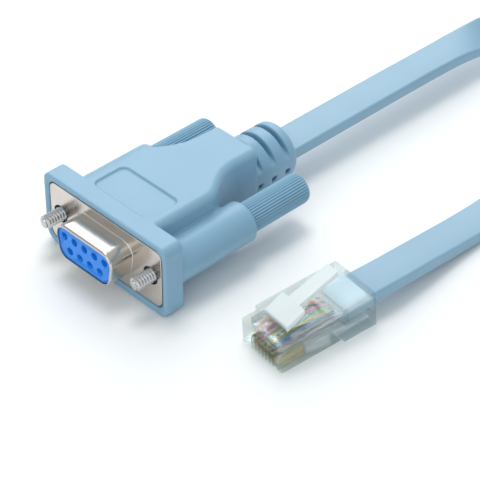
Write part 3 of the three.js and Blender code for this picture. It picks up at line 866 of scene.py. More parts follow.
def hood_recess(sizes, x, y, z):
    """Shallow blank panel in the body's top."""
    middle = sizes.recess_start + sizes.recess_length / 2
    outline = rounded_rectangle(
        x, y - middle, sizes.recess_width / 2, sizes.recess_length / 2, sizes.recess_corner
    )
    return np.maximum(outline, AXIS_Z - sizes.recess_depth - z)


def hood_passages(sizes, x, y, z):
    """Bores of the two screws and the sleeves that the knobs sit in."""
    radius = np.hypot(np.abs(x) - SCREW_X, z)
    sleeve = np.maximum(
        radius - (KNOB_HIGH.x - SCREW_X) - sizes.sleeve_gap,
        sizes.flange_back + sizes.barrel_length - sizes.sleeve_depth - y,
    )
    return np.minimum(sleeve, radius - sizes.bore_radius)


def groove_middles(sizes):
    """Station of each groove's middle behind the plate."""
    first = neck_end(sizes) + sizes.groove_start
    return [first + i * sizes.groove_pitch for i in range(sizes.groove_count)]


def boot_grooves(sizes, x, y, z):
    """Crescent grooves, deepest over the boot's top and running out at its sides."""
    top = sizes.boot_radius - sizes.groove_depth
    foot_x = math.sqrt(sizes.boot_radius ** 2 - sizes.groove_foot ** 2)
    drop = (foot_x ** 2 + sizes.groove_foot ** 2 - top ** 2) / (2 * (top - sizes.groove_foot))
    outside = top + drop - np.hypot(x, z + drop)
    cuts = [
        rounded_meet(outside, np.abs(y - middle) - sizes.groove_width / 2, sizes.groove_edge)
        for middle in groove_middles(sizes)
    ]
    return np.minimum.reduce(cuts)


def boot_windows(sizes, x, y, z):
    """Small square windows in the boot's sides, one under each groove."""
    half = sizes.window_size / 2
    side = sizes.boot_radius - sizes.window_depth - np.abs(x)
    hole = np.maximum(side, np.abs(z + sizes.window_drop) - half)
    cuts = [np.maximum(hole, np.abs(y - middle) - half) for middle in groove_middles(sizes)]
    return np.minimum.reduce(cuts)


def hood_boot(sizes, x, y, z):
    """Round boot behind the neck with its grooves and windows."""
    z = z + AXIS_Z - sizes.boot_height
    start, end = neck_end(sizes) - sizes.boot_root, neck_end(sizes) + sizes.boot_length
    boot = rounded_meet(np.hypot(x, z) - sizes.boot_radius, span(y, start, end), sizes.boot_edge)
    boot = smooth_cut(boot, boot_grooves(sizes, x, y, z), sizes.groove_edge)
    return np.maximum(boot, -boot_windows(sizes, x, y, z))


def hood_distance(sizes, x, y, z):
    """Signed distance to the whole moulded hood."""
    y, z = y - PLATE_Y, z - AXIS_Z
    body = smooth_join(hood_body(sizes, x, y, z), hood_barrels(sizes, x, y, z), sizes.barrel_blend)
    whole = np.minimum(np.minimum(hood_flange(sizes, x, y, z), body), hood_boot(sizes, x, y, z))
    whole = smooth_cut(whole, hood_recess(sizes, x, y, z), sizes.recess_edge)
    whole = smooth_cut(whole, hood_pocket(sizes, x, y, z), sizes.pocket_edge)
    return np.maximum(whole, -hood_passages(sizes, x, y, z))


class SERIALCABLE_OT_hood(bpy.types.Operator):
    """Builds the moulded hood with its barrels and slotted boot"""

    bl_idname = "serialcable.hood"
    bl_label = "Moulded hood"

    def execute(self, context):
        sizes, finishes = context.scene.serialcable_hood, context.scene.serialcable_finishes
        piece = meshed_distance(
            "moulded_hood", HOOD_LOW, HOOD_HIGH, sizes.voxel, lambda x, y, z: hood_distance(sizes, x, y, z)
        )
        finish_piece(piece, ASSEMBLY, "hood_pvc", moulded_finish("hood_pvc", finishes.pvc), "hood")
        return {"FINISHED"}


# Points round a knob's edge and across each rib, and how narrow the ribs' hollows are.
KNOB_EDGE_POINTS = 6
RIB_POINTS = 8
RIB_HOLLOW = 1.6


def ribbed_knob(sizes, finish):
    """Tree of a ribbed knob round Z: a rounded profile swept round, then ribbed."""
    radius, long = (KNOB_HIGH.x - KNOB_LOW.x) / 2, KNOB_HIGH.y - KNOB_LOW.y
    tree = Tree(
        "Ribbed knob", Radius=("Float", radius), Length=("Float", long), Ribs=("Int", sizes.ribs),
        Depth=("Float", sizes.rib_depth), Edge=("Float", sizes.knob_edge)
    )
    profile = tree.add(
        "GeometryNodeCurvePrimitiveQuadrilateral", Width=tree.input("Radius"), Height=tree.input("Length")
    ).outputs[0]
    outside = tree.calc("GREATER_THAN", tree.parts(tree.position())[0], 0)
    rounded = tree.add(
        "GeometryNodeFilletCurve", {"mode": "POLY"}, Curve=profile, Count=KNOB_EDGE_POINTS,
        Radius=tree.calc("MULTIPLY", outside, tree.input("Edge"))
    ).outputs[0]
    path = tree.add(
        "GeometryNodeCurvePrimitiveCircle",
        Resolution=tree.calc("MULTIPLY", tree.input("Ribs"), RIB_POINTS),
        Radius=tree.calc("MULTIPLY", tree.input("Radius"), 0.5)
    ).outputs[0]
    swept = tree.add("GeometryNodeCurveToMesh", Curve=path, Profile_Curve=rounded).outputs[0]
    x, y, z = tree.parts(tree.position())
    out = tree.calc("SQRT", tree.calc("ADD", tree.calc("MULTIPLY", x, x), tree.calc("MULTIPLY", y, y)))
    wave = tree.calc("COSINE", tree.calc("MULTIPLY", tree.calc("ARCTAN2", y, x), tree.input("Ribs")))
    hollow = tree.calc("POWER", tree.calc("MULTIPLY_ADD", wave, -0.5, 0.5), RIB_HOLLOW)
    reach = tree.calc("DIVIDE", out, tree.input("Radius"))
    fade = tree.calc("MULTIPLY", reach, tree.calc("MULTIPLY", reach, reach))
    sunk = tree.calc("MULTIPLY", tree.calc("MULTIPLY", hollow, fade), tree.input("Depth"))
    keep = tree.calc("SUBTRACT", 1, tree.calc("DIVIDE", sunk, tree.calc("MAXIMUM", out, 1e-6)))
    inner = tree.vector(tree.calc("MULTIPLY", x, keep), tree.calc("MULTIPLY", y, keep), z)
    tree.end(tree.place(swept, inner), finish)
    return tree


# Rows for each turn of a thread, sides round it, and the share of its radius at the point.
THREAD_ROWS = 10
THREAD_SIDES = 36
POINT_SHARE = 0.65

# Grid rows further out than this from the middle are drawn together and close the rod's ends.
LAST_OPEN_ROW = 0.49999


def threaded_screw(sizes, finish):
    """Tree of a threaded rod along Z: a grid rolled up, its radius following the helix."""
    radius, long = (SCREW_HIGH.x - SCREW_LOW.x) / 2, SCREW_HIGH.y - SCREW_LOW.y
    tree = Tree(
        "Threaded screw", Radius=("Float", radius), Length=("Float", long),
        Pitch=("Float", sizes.thread_pitch), Depth=("Float", sizes.thread_depth),
        Point=("Float", sizes.point_length)
    )
    turns = tree.calc("DIVIDE", tree.input("Length"), tree.input("Pitch"))
    rows = tree.calc("CEIL", tree.calc("MULTIPLY", turns, THREAD_ROWS))
    grid = tree.add(
        "GeometryNodeMeshGrid", Size_X=1, Size_Y=1, Vertices_X=THREAD_SIDES + 1, Vertices_Y=rows
    ).outputs[0]
    u, v, _ = tree.parts(tree.position())
    round_share = tree.calc("ADD", u, 0.5)
    turn = tree.calc("MULTIPLY", round_share, 2 * math.pi)
    height = tree.calc("MULTIPLY", tree.calc("ADD", v, 0.5), tree.input("Length"))
    phase = tree.calc("SUBTRACT", tree.calc("DIVIDE", height, tree.input("Pitch")), round_share)
    flank = tree.calc("PINGPONG", phase, 0.5)
    cut = tree.calc("MULTIPLY", tree.calc("MULTIPLY", flank, 2), tree.input("Depth"))
    cone = tree.calc("MINIMUM", tree.calc("DIVIDE", height, tree.input("Point")), 1)
    taper = tree.calc("MULTIPLY_ADD", cone, 1 - POINT_SHARE, POINT_SHARE)
    full = tree.calc("MULTIPLY", tree.calc("SUBTRACT", tree.input("Radius"), cut), taper)
    inner = tree.calc("LESS_THAN", tree.calc("ABSOLUTE", v), LAST_OPEN_ROW)
    out = tree.calc("MULTIPLY", full, inner)
    place = tree.vector(
        tree.calc("MULTIPLY", tree.calc("COSINE", turn), out),
        tree.calc("MULTIPLY", tree.calc("SINE", turn), out), height
    )
    rolled = tree.place(grid, place)
    closed = tree.add("GeometryNodeMergeByDistance", Geometry=rolled, Distance=MERGE).outputs[0]
    tree.end(closed, finish)
    return tree


class SERIALCABLE_OT_thumbscrews(bpy.types.Operator):
    """Builds the two ribbed knobs and their threaded screws"""

    bl_idname = "serialcable.thumbscrews"
    bl_label = "Thumbscrews"

    def execute(self, context):
        sizes, finishes = context.scene.serialcable_screws, context.scene.serialcable_finishes
        blue = moulded_finish("knob_pvc", finishes.pvc, roughness=0.45)
        steel = plated_finish("screw_steel", finishes.steel, low=0.18, high=0.32)
        along = Matrix.Rotation(-math.pi / 2, 4, "X")
        for side, x in (("left", -SCREW_X), ("right", SCREW_X)):
            body = side + "_thumbscrew"
            middle = Matrix.Translation((x, (KNOB_LOW.y + KNOB_HIGH.y) / 2, AXIS_Z))
            knob = ribbed_knob(sizes, blue).piece(
                body + "_grip", middle @ along, sharp=math.radians(60)
            )
            finish_piece(knob, body, "hood_pvc", blue, body + "_knob")
            point = Matrix.Translation((x, SCREW_LOW.y, AXIS_Z))
            screw = threaded_screw(sizes, steel).piece(
                body + "_thread", point @ along, sharp=math.radians(50)
            )
            finish_piece(screw, body, "screw_steel", steel, body + "_screw")
        return {"FINISHED"}


def socket_shell(sizes):
    """Plate and D-shaped tube drawn from one sheet."""
    front = SHELL_LOW.y
    back = PLATE_Y + sizes.plate_thickness
    half_x, half_z = SHELL_HIGH.x, (SHELL_HIGH.z - SHELL_LOW.z) / 2
    arcs = [math.radians(90) * i / EDGE_STEPS for i in range(EDGE_STEPS + 1)]
    builder = PartBuilder()

    def plate_ring(inset, y):
        x, z = half_x - inset, half_z - inset
        corners = [(-x, -z), (x, -z), (x, z), (-x, z)]
        outline = rounded_outline(corners, sizes.plate_corner - inset, PLATE_CORNER_STEPS)
        return builder.ring(outline, y)

    edge, flare, lip, wall = sizes.plate_edge, sizes.shell_flare, sizes.shell_lip, sizes.shell_wall
    rim = [plate_ring(edge * (1 - math.sin(a)), PLATE_Y + edge * (1 - math.cos(a))) for a in arcs]
    rim.append(plate_ring(0, back))
    root = [
        builder.ring(keystone(sizes, -flare * (1 - math.sin(a))), PLATE_Y - flare * (1 - math.cos(a)))
        for a in arcs
    ]
    mouth = [
        builder.ring(keystone(sizes, lip * (1 - math.cos(a))), front + lip * (1 - math.sin(a)))
        for a in arcs
    ]
    inside = [builder.ring(keystone(sizes, lip), y) for y in (front + wall, back)]
    tube = root + mouth + inside
    builder.skins(rim)
    builder.skins(tube)
    holes = []
    for x in (-SCREW_X, SCREW_X):
        outline = circle_outline(x, 0, sizes.screw_hole)
        holes.append([builder.ring(outline, PLATE_Y), builder.ring(outline, back)])
        builder.skins(holes[-1])
    builder.fill(rim[0], root[0], *(hole[0] for hole in holes))
    builder.fill(rim[-1], tube[-1], *(hole[1] for hole in holes))
    return builder.object("metal_shell")


TOP_ROW = 5
LOWER_ROW = len(CONTACTS) - TOP_ROW


def contact_rows(tree):
    """Points of the five upper and four lower contacts, in X and Z round the middle."""
    rows = []
    for count, side in ((TOP_ROW, 0.5), (LOWER_ROW, -0.5)):
        start = tree.vector(
            tree.calc("MULTIPLY", tree.input("Pitch"), -(count - 1) / 2), 0,
            tree.calc("MULTIPLY", tree.input("Rows"), side)
        )
        line = tree.add(
            "GeometryNodeMeshLine", Count=count, Start_Location=start,
            Offset=tree.vector(tree.input("Pitch"), 0, 0)
        )
        rows.append(line.outputs[0])
    return tree.add("GeometryNodeJoinGeometry", Geometry=rows).outputs[0]


# Sides of the drill. Its cone starts in front of the face, by a share of the hole's own
# cone, and is wider there by a factor.
DRILL_SIDES = 28
CONE_LEAD = 0.4
CONE_FLARE = 1.12


def contact_drill(tree):
    """Drill of one contact hole, round Z with its face at zero: a cone, then a bore."""
    cone = tree.add(
        "GeometryNodeMeshCone", Vertices=DRILL_SIDES, Radius_Top=tree.input("Throat"),
        Radius_Bottom=tree.calc("MULTIPLY", tree.input("Mouth"), CONE_FLARE),
        Depth=tree.calc("MULTIPLY", tree.input("Cone"), 1 + CONE_LEAD)
    ).outputs[0]
    low = tree.vector(0, 0, tree.calc("MULTIPLY", tree.input("Cone"), -CONE_LEAD))
    cone = tree.add("GeometryNodeTransform", Geometry=cone, Translation=low).outputs[0]
    bore = tree.add(
        "GeometryNodeMeshCylinder", Vertices=DRILL_SIDES, Radius=tree.input("Throat"),
        Depth=tree.input("Depth")
    ).outputs[0]
    half_cone = tree.calc("MULTIPLY", tree.input("Cone"), 0.5)
    deep = tree.vector(0, 0, tree.calc("MULTIPLY_ADD", tree.input("Depth"), 0.5, half_cone))
    bore = tree.add("GeometryNodeTransform", Geometry=bore, Translation=deep).outputs[0]
    return tree.add(
        "GeometryNodeMeshBoolean", {"operation": "UNION", "solver": "EXACT"}, n1=[cone, bore]
    ).outputs[0]


def insulator_tree(sizes, finish):
    """Tree that drills the nine contact holes in the block."""
    tree = Tree(
        "Drilled insulator", Pitch=("Float", sizes.contact_pitch), Rows=("Float", sizes.row_pitch),
        Mouth=("Float", sizes.hole_mouth), Throat=("Float", sizes.hole_throat),
        Cone=("Float", sizes.hole_cone), Depth=("Float", sizes.hole_depth),
        Front=("Float", SHELL_LOW.y + sizes.insulator_recess)
    )
    turned = tree.add(
        "GeometryNodeTransform", Geometry=contact_drill(tree), Rotation=ALONG_Y
    ).outputs[0]
    holes = tree.add(
        "GeometryNodeInstanceOnPoints", Points=contact_rows(tree), Instance=turned
    ).outputs[0]
    front = tree.vector(0, tree.input("Front"), AXIS_Z)
    placed = tree.add("GeometryNodeTransform", Geometry=holes, Translation=front).outputs[0]
    real = tree.add("GeometryNodeRealizeInstances", Geometry=placed).outputs[0]
    drilled = tree.add(
        "GeometryNodeMeshBoolean", {"operation": "DIFFERENCE", "solver": "EXACT"},
        n0=tree.source.outputs["Geometry"], n1=real
    ).outputs[0]
    tree.end(drilled, finish)
    return tree


def insulator_block(sizes):
    """Solid block in the tube's outline, with a softened front edge."""
    front = SHELL_LOW.y + sizes.insulator_recess
    inset = sizes.shell_lip + sizes.insulator_gap
    soft = sizes.block_edge
    builder = PartBuilder()
    rings = [
        builder.ring(keystone(sizes, inset + soft), front),
        builder.ring(keystone(sizes, inset), front + soft),
        builder.ring(keystone(sizes, inset), PLATE_Y + sizes.plate_thickness),
    ]
    builder.skins(rings)
    builder.fill(rings[0])
    builder.fill(rings[-1])
    return builder.object("insulator_block")


CONTACT_SIDES = 24


def contact_tree(sizes, finish):
    """Tree of the nine contacts: a tube repeated on the two rows."""
    low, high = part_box(CONTACTS[0])
    tree = Tree(
        "Contacts", Pitch=("Float", sizes.contact_pitch), Rows=("Float", sizes.row_pitch),
        Outer=("Float", sizes.contact_radius), Bore=("Float", sizes.contact_bore),
        Length=("Float", high.y - low.y)
    )
    wall = tree.calc("SUBTRACT", tree.input("Outer"), tree.input("Bore"))
    profile = tree.add(
        "GeometryNodeCurvePrimitiveQuadrilateral", Width=wall, Height=tree.input("Length")
    ).outputs[0]
    middle = tree.calc("MULTIPLY", tree.calc("ADD", tree.input("Outer"), tree.input("Bore")), 0.5)
    path = tree.add("GeometryNodeCurvePrimitiveCircle", Resolution=CONTACT_SIDES, Radius=middle).outputs[0]
    sleeve = tree.add("GeometryNodeCurveToMesh", Curve=path, Profile_Curve=profile).outputs[0]
    turned = tree.add("GeometryNodeTransform", Geometry=sleeve, Rotation=ALONG_Y).outputs[0]
    rows = tree.add(
        "GeometryNodeInstanceOnPoints", Points=contact_rows(tree), Instance=turned
    ).outputs[0]
    tree.end(rows, finish)
    return tree


class SERIALCABLE_OT_socket(bpy.types.Operator):
    """Builds the metal shell, the drilled insulator and the contacts"""

    bl_idname = "serialcable.socket"
    bl_label = "Socket"

    def execute(self, context):
        sizes, finishes = context.scene.serialcable_socket, context.scene.serialcable_finishes
        nickel = plated_finish("nickel_plate", finishes.nickel, low=0.16, high=0.26)
        finish_piece(socket_shell(sizes), ASSEMBLY, "nickel_plate", nickel, "socket_shell")
        blue = moulded_finish("insulator_blue", finishes.insulator, roughness=0.35)
        drilled = insulator_tree(sizes, blue).piece("drilled_insulator", carrier=insulator_block(sizes))
        finish_piece(drilled, ASSEMBLY, "insulator_blue", blue, "insulator")
        gold = plated_finish("contact_gold", finishes.gold, low=0.15, high=0.25)
        low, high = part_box(CONTACTS[0])
        place = Matrix.Translation((0, (low.y + high.y) / 2, AXIS_Z))
        sleeves = contact_tree(sizes, gold).piece("contact_sleeves", place)
        finish_piece(sleeves, ASSEMBLY, "gold_plate", gold, *CONTACTS)
        return {"FINISHED"}


def plug_place(sizes):
    """The plug's own frame: X across, Y back from the nose, Z up from its lower face."""
    nose = MOUNTS["plug_nose"]
    side = Vector(JOINTS["latch_bend"]["axis"]).normalized()
    back = -Vector(nose["axis"]).normalized()
    up = side.cross(back).normalized()
    origin = Vector(nose["pos_m"]) - up * sizes.mount_height
    turn = Matrix((side, back, up)).transposed().to_4x4()
    return Matrix.Translation(origin) @ turn


# From the boot to the outside of the coil: level at first, then sinking and turning
# on edge. Each point is X, Y, Z in millimetres and the twist in degrees.
HOOD_RUN = [
    (0, 34.85, 6.9, 0), (0, 44.85, 6.85, 0), (0, 55.85, 6.8, 0), (0, 66.85, 6.65, 0),
    (0, 76.85, 6.4, 5), (0, 84.35, 5.8, 24), (-0.5, 90.25, 4.9, 62), (-2.2, 96.85, 3.9, 89),
]

# From the inside of the coil over its turns, down to the floor and on to the plug.
PLUG_RUN = [
    (48.6, 157.15, 4.0, 88), (52.6, 149.45, 4.8, 74), (54.1, 139.15, 6.6, 44), (52.6, 131.65, 8.4, 18),
    (50.6, 125.45, 9.3, 5), (47.9, 117.85, 9.4, 0), (45.2, 109.85, 9.3, 0), (42.4, 101.35, 9.3, 0),
    (40.1, 92.85, 9.2, 0), (38.7, 84.35, 8.5, 0), (38.0, 75.35, 6.2, 0), (37.8, 66, 3.8, 0),
    (37.8, 56, 2.1, 0), (37.85, 44.85, 1.4, 0), (37.95, 36.85, 1.7, 0), (38.28, 28.85, 2.6, 0),
    (38.85, 20.85, 3.8, 0), (39.15, 13.85, 4.6, 0),
]


def coil_run(sizes):
    """Points of the coil's turns, on edge, rising where the tie passes under them."""
    total = sizes.coil_start - sizes.coil_end + 2 * math.pi * sizes.coil_turns
    count = round(total / sizes.coil_step)
    points = []
    for i in range(count + 1):
        part = i / count
        direction = sizes.coil_start - total * part
        radius = sizes.coil_outer + (sizes.coil_inner - sizes.coil_outer) * part
        off_tie = math.remainder(direction - sizes.tie_place, 2 * math.pi)
        lift = sizes.tie_lift * math.exp(-((off_tie / sizes.tie_reach) ** 2))
        points.append((
            sizes.coil_x + radius * math.cos(direction), sizes.coil_y + radius * math.sin(direction),
            sizes.width / 2 + lift, math.radians(90)
        ))
    return points


def cable_points(sizes, plug):
    """Every point of the cable's route in metres, with its twist in radians."""
    def run(points):
        return [(x * MM, y * MM, z * MM, math.radians(twist)) for x, y, z, twist in points]

    start = [(0, y, sizes.exit_height, 0) for y in (HOOD_HIGH.y - sizes.root, HOOD_HIGH.y)]
    place = plug_place(plug)
    stations = [plug.body_length - inside for inside in (-sizes.lead, 0, plug.grip / 2, plug.grip)]
    entry = [(*(place @ Vector((0, y, plug.entry_height))), 0) for y in stations]
    return start + run(HOOD_RUN) + coil_run(sizes) + run(PLUG_RUN) + entry


# Fine steps between two points of a route.
ROUTE_STEPS = 12


def between(s, start, end, first, last):
    """The value at s on the straight line from first, at start, to last, at end."""
    return ((end - s) * first + (s - start) * last) / (end - start)


def smooth_route(points, step):
    """Even samples along a smooth curve through the points, and the curve's length."""
    points = np.array(points)
    gaps = np.linalg.norm(np.diff(points[:, :3], axis=0), axis=1)
    knots = np.concatenate([[0], np.cumsum(np.sqrt(gaps))])
    padded = np.vstack([2 * points[0] - points[1], points, 2 * points[-1] - points[-2]])
    marks = np.concatenate([[2 * knots[0] - knots[1]], knots, [2 * knots[-1] - knots[-2]]])
    fine = []
    for i in range(1, len(points)):
        p, t = padded[i - 1:i + 3], marks[i - 1:i + 3]
        s = np.linspace(t[1], t[2], ROUTE_STEPS, endpoint=False)[:, None]
        a = [between(s, t[k], t[k + 1], p[k], p[k + 1]) for k in range(3)]
        b = [between(s, t[k], t[k + 2], a[k], a[k + 1]) for k in range(2)]
        fine.append(between(s, t[1], t[2], b[0], b[1]))
    fine = np.vstack([*fine, points[-1:]])
    steps = np.linalg.norm(np.diff(fine[:, :3], axis=0), axis=1)
    run = np.concatenate([[0], np.cumsum(steps)])
    even = np.linspace(0, run[-1], round(run[-1] / step) + 1)
    return np.stack([np.interp(even, run, fine[:, i]) for i in range(4)], 1), run[-1]


def flat_section(sizes):
    """Section of the flat cable, broad side level, as points across and through it."""
    x, y = sizes.width / 2, sizes.thickness / 2
    corners = [(-x, -y), (x, -y), (x, y), (-x, y)]
    return np.array(rounded_outline(corners, sizes.corner, sizes.arc_points))


def swept_tube(name, route, section):
    """A closed tube with the section laid along the route and turned by its twist."""
    middle, twist = route[:, :3], route[:, 3]
    tangent = np.gradient(middle, axis=0)
    tangent /= np.linalg.norm(tangent, axis=1, keepdims=True)
    flat = np.array([0, 0, 1]) - tangent * tangent[:, 2:]
    flat /= np.linalg.norm(flat, axis=1, keepdims=True)
    side = np.cross(flat, tangent)
    cos, sin = np.cos(twist)[:, None, None], np.sin(twist)[:, None, None]
    across = section[None, :, :1] * cos - section[None, :, 1:] * sin
    through = section[None, :, :1] * sin + section[None, :, 1:] * cos
    points = middle[:, None] + side[:, None] * across + flat[:, None] * through
    count = len(section)
    ring = np.arange(count)
    on = (ring + 1) % count
    faces = []
    for here in range(0, (len(route) - 1) * count, count):
        there = here + count
        faces += list(np.stack([here + ring, here + on, there + on, there + ring], 1))
    faces += [ring[::-1], there + ring]
    return mesh_object(name, points.reshape(-1, 3), faces)


class SERIALCABLE_OT_cable(bpy.types.Operator):
    """Lays the flat cable from the boot through its coil to the plug, and ties it"""

    bl_idname = "serialcable.cable"
    bl_label = "Flat cable"

    def execute(self, context):
        scene = context.scene
        sizes, plug, finishes = scene.serialcable_cable, scene.serialcable_plug, scene.serialcable_finishes
        route, total = smooth_route(cable_points(sizes, plug), sizes.step)
        cable = swept_tube("flat_cable", route, flat_section(sizes))
        tidy_mesh(cable)
        jacket = moulded_finish("cable_jacket", finishes.jacket, roughness=0.36, grain=6000)
        finish_piece(cable, ASSEMBLY, "cable_pvc", jacket, "cable_to_hood", "cable_coil", "cable_to_plug")
        tie = bevelled(from_node("coil_band", "coil_tie"), sizes.tie_edge)
        finish_piece(tie, ASSEMBLY, "tie_black", tie_finish("tie_black", finishes.tie), "coil_tie")
        return {"FINISHED"}


WIRE_SIDES = 14


def wire_tree(sizes, finish):
    """Tree that lays a round section along the carrier's curve."""
    tree = Tree("Laid wire", Radius=("Float", sizes.wire_radius))
    profile = tree.add(
        "GeometryNodeCurvePrimitiveCircle", Resolution=WIRE_SIDES, Radius=tree.input("Radius")
    ).outputs[0]
    laid = tree.add(
        "GeometryNodeCurveToMesh", Curve=tree.source.outputs["Geometry"], Profile_Curve=profile,
        Fill_Caps=True
    ).outputs[0]
    tree.end(laid, finish)
    return tree


def wire_curve(name, sizes, x):
    """One wire's line, from the jacket's end to the nose, in the plug's frame."""
    start = sizes.body_length - sizes.grip + sizes.wire_root
    bunched = x * sizes.wire_bunch / sizes.wire_pitch
    low, high = sizes.entry_height, sizes.entry_height + sizes.wire_lift
    data = bpy.data.curves.new(name, "CURVE")
    data.dimensions = "3D"
    spline = data.splines.new("BEZIER")
    points = [(bunched, start, low), (x, start - sizes.wire_rise, high), (x, sizes.wire_stop, high)]
    spline.bezier_points.add(len(points) - 1)
    for point, place in zip(spline.bezier_points, points):
        point.co = place
        point.handle_left = (place[0], place[1] + sizes.wire_bend, place[2])
        point.handle_right = (place[0], place[1] - sizes.wire_bend, place[2])
    return new_object(name, data)


def blade_tree(sizes, finish):
    """Tree of the eight contact blades, one repeated across the nose."""
    tree = Tree(
        "Blades", Pitch=("Float", sizes.wire_pitch), Count=("Int", len(BLADES)),
        Thickness=("Float", sizes.blade_thickness), Length=("Float", sizes.blade_length),
        Height=("Float", sizes.blade_height)
    )
    size = tree.vector(tree.input("Thickness"), tree.input("Length"), tree.input("Height"))
    blade = tree.add("GeometryNodeMeshCube", Size=size).outputs[0]
    last = tree.calc("SUBTRACT", tree.input("Count"), 1)
    first = tree.calc("MULTIPLY", tree.calc("MULTIPLY", last, tree.input("Pitch")), -0.5)
    line = tree.add(
        "GeometryNodeMeshLine", Count=tree.input("Count"), Start_Location=tree.vector(first, 0, 0),
        Offset=tree.vector(tree.input("Pitch"), 0, 0)
    ).outputs[0]
    tree.end(tree.add("GeometryNodeInstanceOnPoints", Points=line, Instance=blade).outputs[0], finish)
    return tree


def clear_parts(sizes, finishes):
    """The plug's clear body and its milkier latch, from their solids."""
    clear = clear_finish(
        "clear_polycarbonate", finishes.clear, finishes.body_clearness, finishes.body_milk
    )
    milky = clear_finish(
        "latch_polycarbonate", finishes.clear, finishes.latch_clearness, finishes.latch_milk
    )
    body = bevelled(from_node("clear_plug", "plug_body"), sizes.edge)
    finish_piece(body, ASSEMBLY, "clear_polycarbonate", clear, "plug_body")
    latch = bevelled(from_node("clear_latch", "plug_latch"), sizes.edge)
    finish_piece(latch, "latch", "clear_polycarbonate", milky, "plug_latch")


def contact_blades(sizes, finishes, place):
    """The eight gold-plated blades in the nose."""
    gold = plated_finish("blade_gold", finishes.gold, low=0.15, high=0.25)
    middle = Vector((
        0, sizes.blade_inset + sizes.blade_length / 2, sizes.blade_recess + sizes.blade_height / 2
    ))
    blades = blade_tree(sizes, gold).piece("plug_blades", place @ Matrix.Translation(middle))
    bevelled(blades, sizes.blade_edge)
    finish_piece(blades, ASSEMBLY, "gold_plate", gold, *BLADES)


def coloured_wires(sizes, finishes, place):
    """The eight wires from the jacket to the nose, each in its own colour."""
    for i, name in enumerate(WIRES):
        x = (i - (len(WIRES) - 1) / 2) * sizes.wire_pitch
        material_slot = f"wire_{i + 1}"
        finish = moulded_finish(material_slot, getattr(finishes, material_slot), roughness=0.35)
        curve = wire_curve(name + "_line", sizes, x)
        wire = wire_tree(sizes, finish).piece(name + "_core", place, carrier=curve)
        finish_piece(wire, ASSEMBLY, material_slot, finish, name)


class SERIALCABLE_OT_plug(bpy.types.Operator):
    """Builds the clear plug with its latch, blades and coloured wires"""

    bl_idname = "serialcable.plug"
    bl_label = "Clear plug"

    def execute(self, context):
        sizes, finishes = context.scene.serialcable_plug, context.scene.serialcable_finishes
        place = plug_place(sizes)
        clear_parts(sizes, finishes)
        contact_blades(sizes, finishes, place)
        coloured_wires(sizes, finishes, place)
        return {"FINISHED"}


# Where the lights aim, and each one's place, size and tint.
LIGHT_TARGET = (0.01, -0.005, 0)
LIGHTS = {
    "key": ((-0.12, 0.08, 0.62), 0.25, (1, 0.97, 0.94)),
    "card": ((-0.46, 0.45, 0.52), 0.6, (1, 1, 1)),
    "fill": ((0.25, -0.6, 0.35), 0.6, (1, 1, 1)),
}
FLOOR_WHITE = (0.92, 0.92, 0.92)


def area_light(name, place, size, tint, watts):
    """A square light that faces the object."""
    data = bpy.data.lights.new(name, "AREA")
    data.size = size
    data.energy = watts
    data.color = tint
    light = new_object(name, data)
    light.location = place
    light.rotation_euler = (Vector(LIGHT_TARGET) - Vector(place)).to_track_quat("-Z", "Y").to_euler()


def pale_floor(size):
    """A plain pale floor under the object."""
    half = size / 2
    corners = [(-half, -half, 0), (half, -half, 0), (half, half, 0), (-half, half, 0)]
    floor = mesh_object("floor", corners, [(0, 1, 2, 3)])
    finish = Finish("floor_white", FLOOR_WHITE, roughness=0.8)
    finish.set(finish.shader, {"Specular IOR Level": 0.2})
    floor.data.materials.append(finish.material)


def aim_camera(scene, sizes):
    """The camera that sees the object as the photograph does."""
    data = bpy.data.cameras.new("camera")
    data.lens = sizes.focal_length
    camera = new_object("camera", data)
    camera.location = sizes.camera_place
    camera.rotation_euler = (math.pi / 2 - sizes.camera_elevation, 0, sizes.camera_azimuth)
    scene.camera = camera


def pale_surroundings(scene, sizes):
    """Even pale light from all round."""
    world = bpy.data.worlds.new("surroundings")
    world.use_nodes = True
    background = world.node_tree.nodes["Background"]
    background.inputs["Color"].default_value = (*sizes.world_tint, 1)
    background.inputs["Strength"].default_value = sizes.world_strength
    scene.world = world


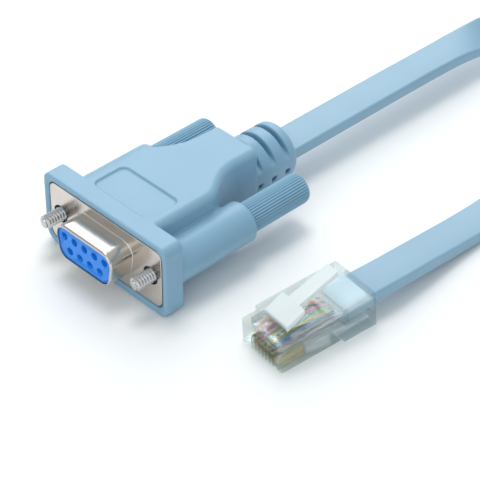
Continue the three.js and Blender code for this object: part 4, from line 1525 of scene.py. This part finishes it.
class SERIALCABLE_OT_stage(bpy.types.Operator):
    """Sets the camera, the pale floor and the soft lights"""

    bl_idname = "serialcable.stage"
    bl_label = "Stage"

    def execute(self, context):
        scene, sizes = context.scene, context.scene.serialcable_stage
        aim_camera(scene, sizes)
        pale_floor(sizes.floor_size)
        for name, (place, size, tint) in LIGHTS.items():
            area_light(name + "_light", place, size, tint, getattr(sizes, name + "_power"))
        pale_surroundings(scene, sizes)
        scene.view_settings.view_transform = "Standard"
        return {"FINISHED"}


class SERIALCABLE_PT_panel(bpy.types.Panel):
    """Lists the pieces of the serial cable"""

    bl_idname = "SERIALCABLE_PT_panel"
    bl_label = "Serial cable"
    bl_space_type = "VIEW_3D"
    bl_region_type = "UI"
    bl_category = "Serial cable"

    def draw(self, context):
        for operator in OPERATORS:
            self.layout.operator(operator.bl_idname)
        for attribute, group in GROUPS.items():
            box = self.layout.box()
            box.label(text=group.__doc__.strip("."))
            for name in group.__annotations__:
                box.prop(getattr(context.scene, attribute), name)


GROUPS = {
    "serialcable_stage": StageSizes,
    "serialcable_cable": CableSizes,
    "serialcable_plug": PlugSizes,
    "serialcable_hood": HoodSizes,
    "serialcable_screws": ScrewSizes,
    "serialcable_socket": SocketSizes,
    "serialcable_finishes": Finishes,
}

OPERATORS = [
    SERIALCABLE_OT_stage,
    SERIALCABLE_OT_plug,
    SERIALCABLE_OT_cable,
    SERIALCABLE_OT_hood,
    SERIALCABLE_OT_thumbscrews,
    SERIALCABLE_OT_socket,
]


def register():
    for made in [*GROUPS.values(), *OPERATORS, SERIALCABLE_PT_panel]:
        bpy.utils.register_class(made)
    for attribute, group in GROUPS.items():
        setattr(bpy.types.Scene, attribute, bpy.props.PointerProperty(type=group))


def unregister():
    for attribute in GROUPS:
        delattr(bpy.types.Scene, attribute)
    for made in reversed([*GROUPS.values(), *OPERATORS, SERIALCABLE_PT_panel]):
        bpy.utils.unregister_class(made)


def main():
    """Builds the whole cable."""
    register()
    bpy.ops.serialcable.stage()
    bpy.ops.serialcable.plug()
    bpy.ops.serialcable.cable()
    bpy.ops.serialcable.hood()
    bpy.ops.serialcable.thumbscrews()
    bpy.ops.serialcable.socket()


if __name__ == "__main__":
    main()
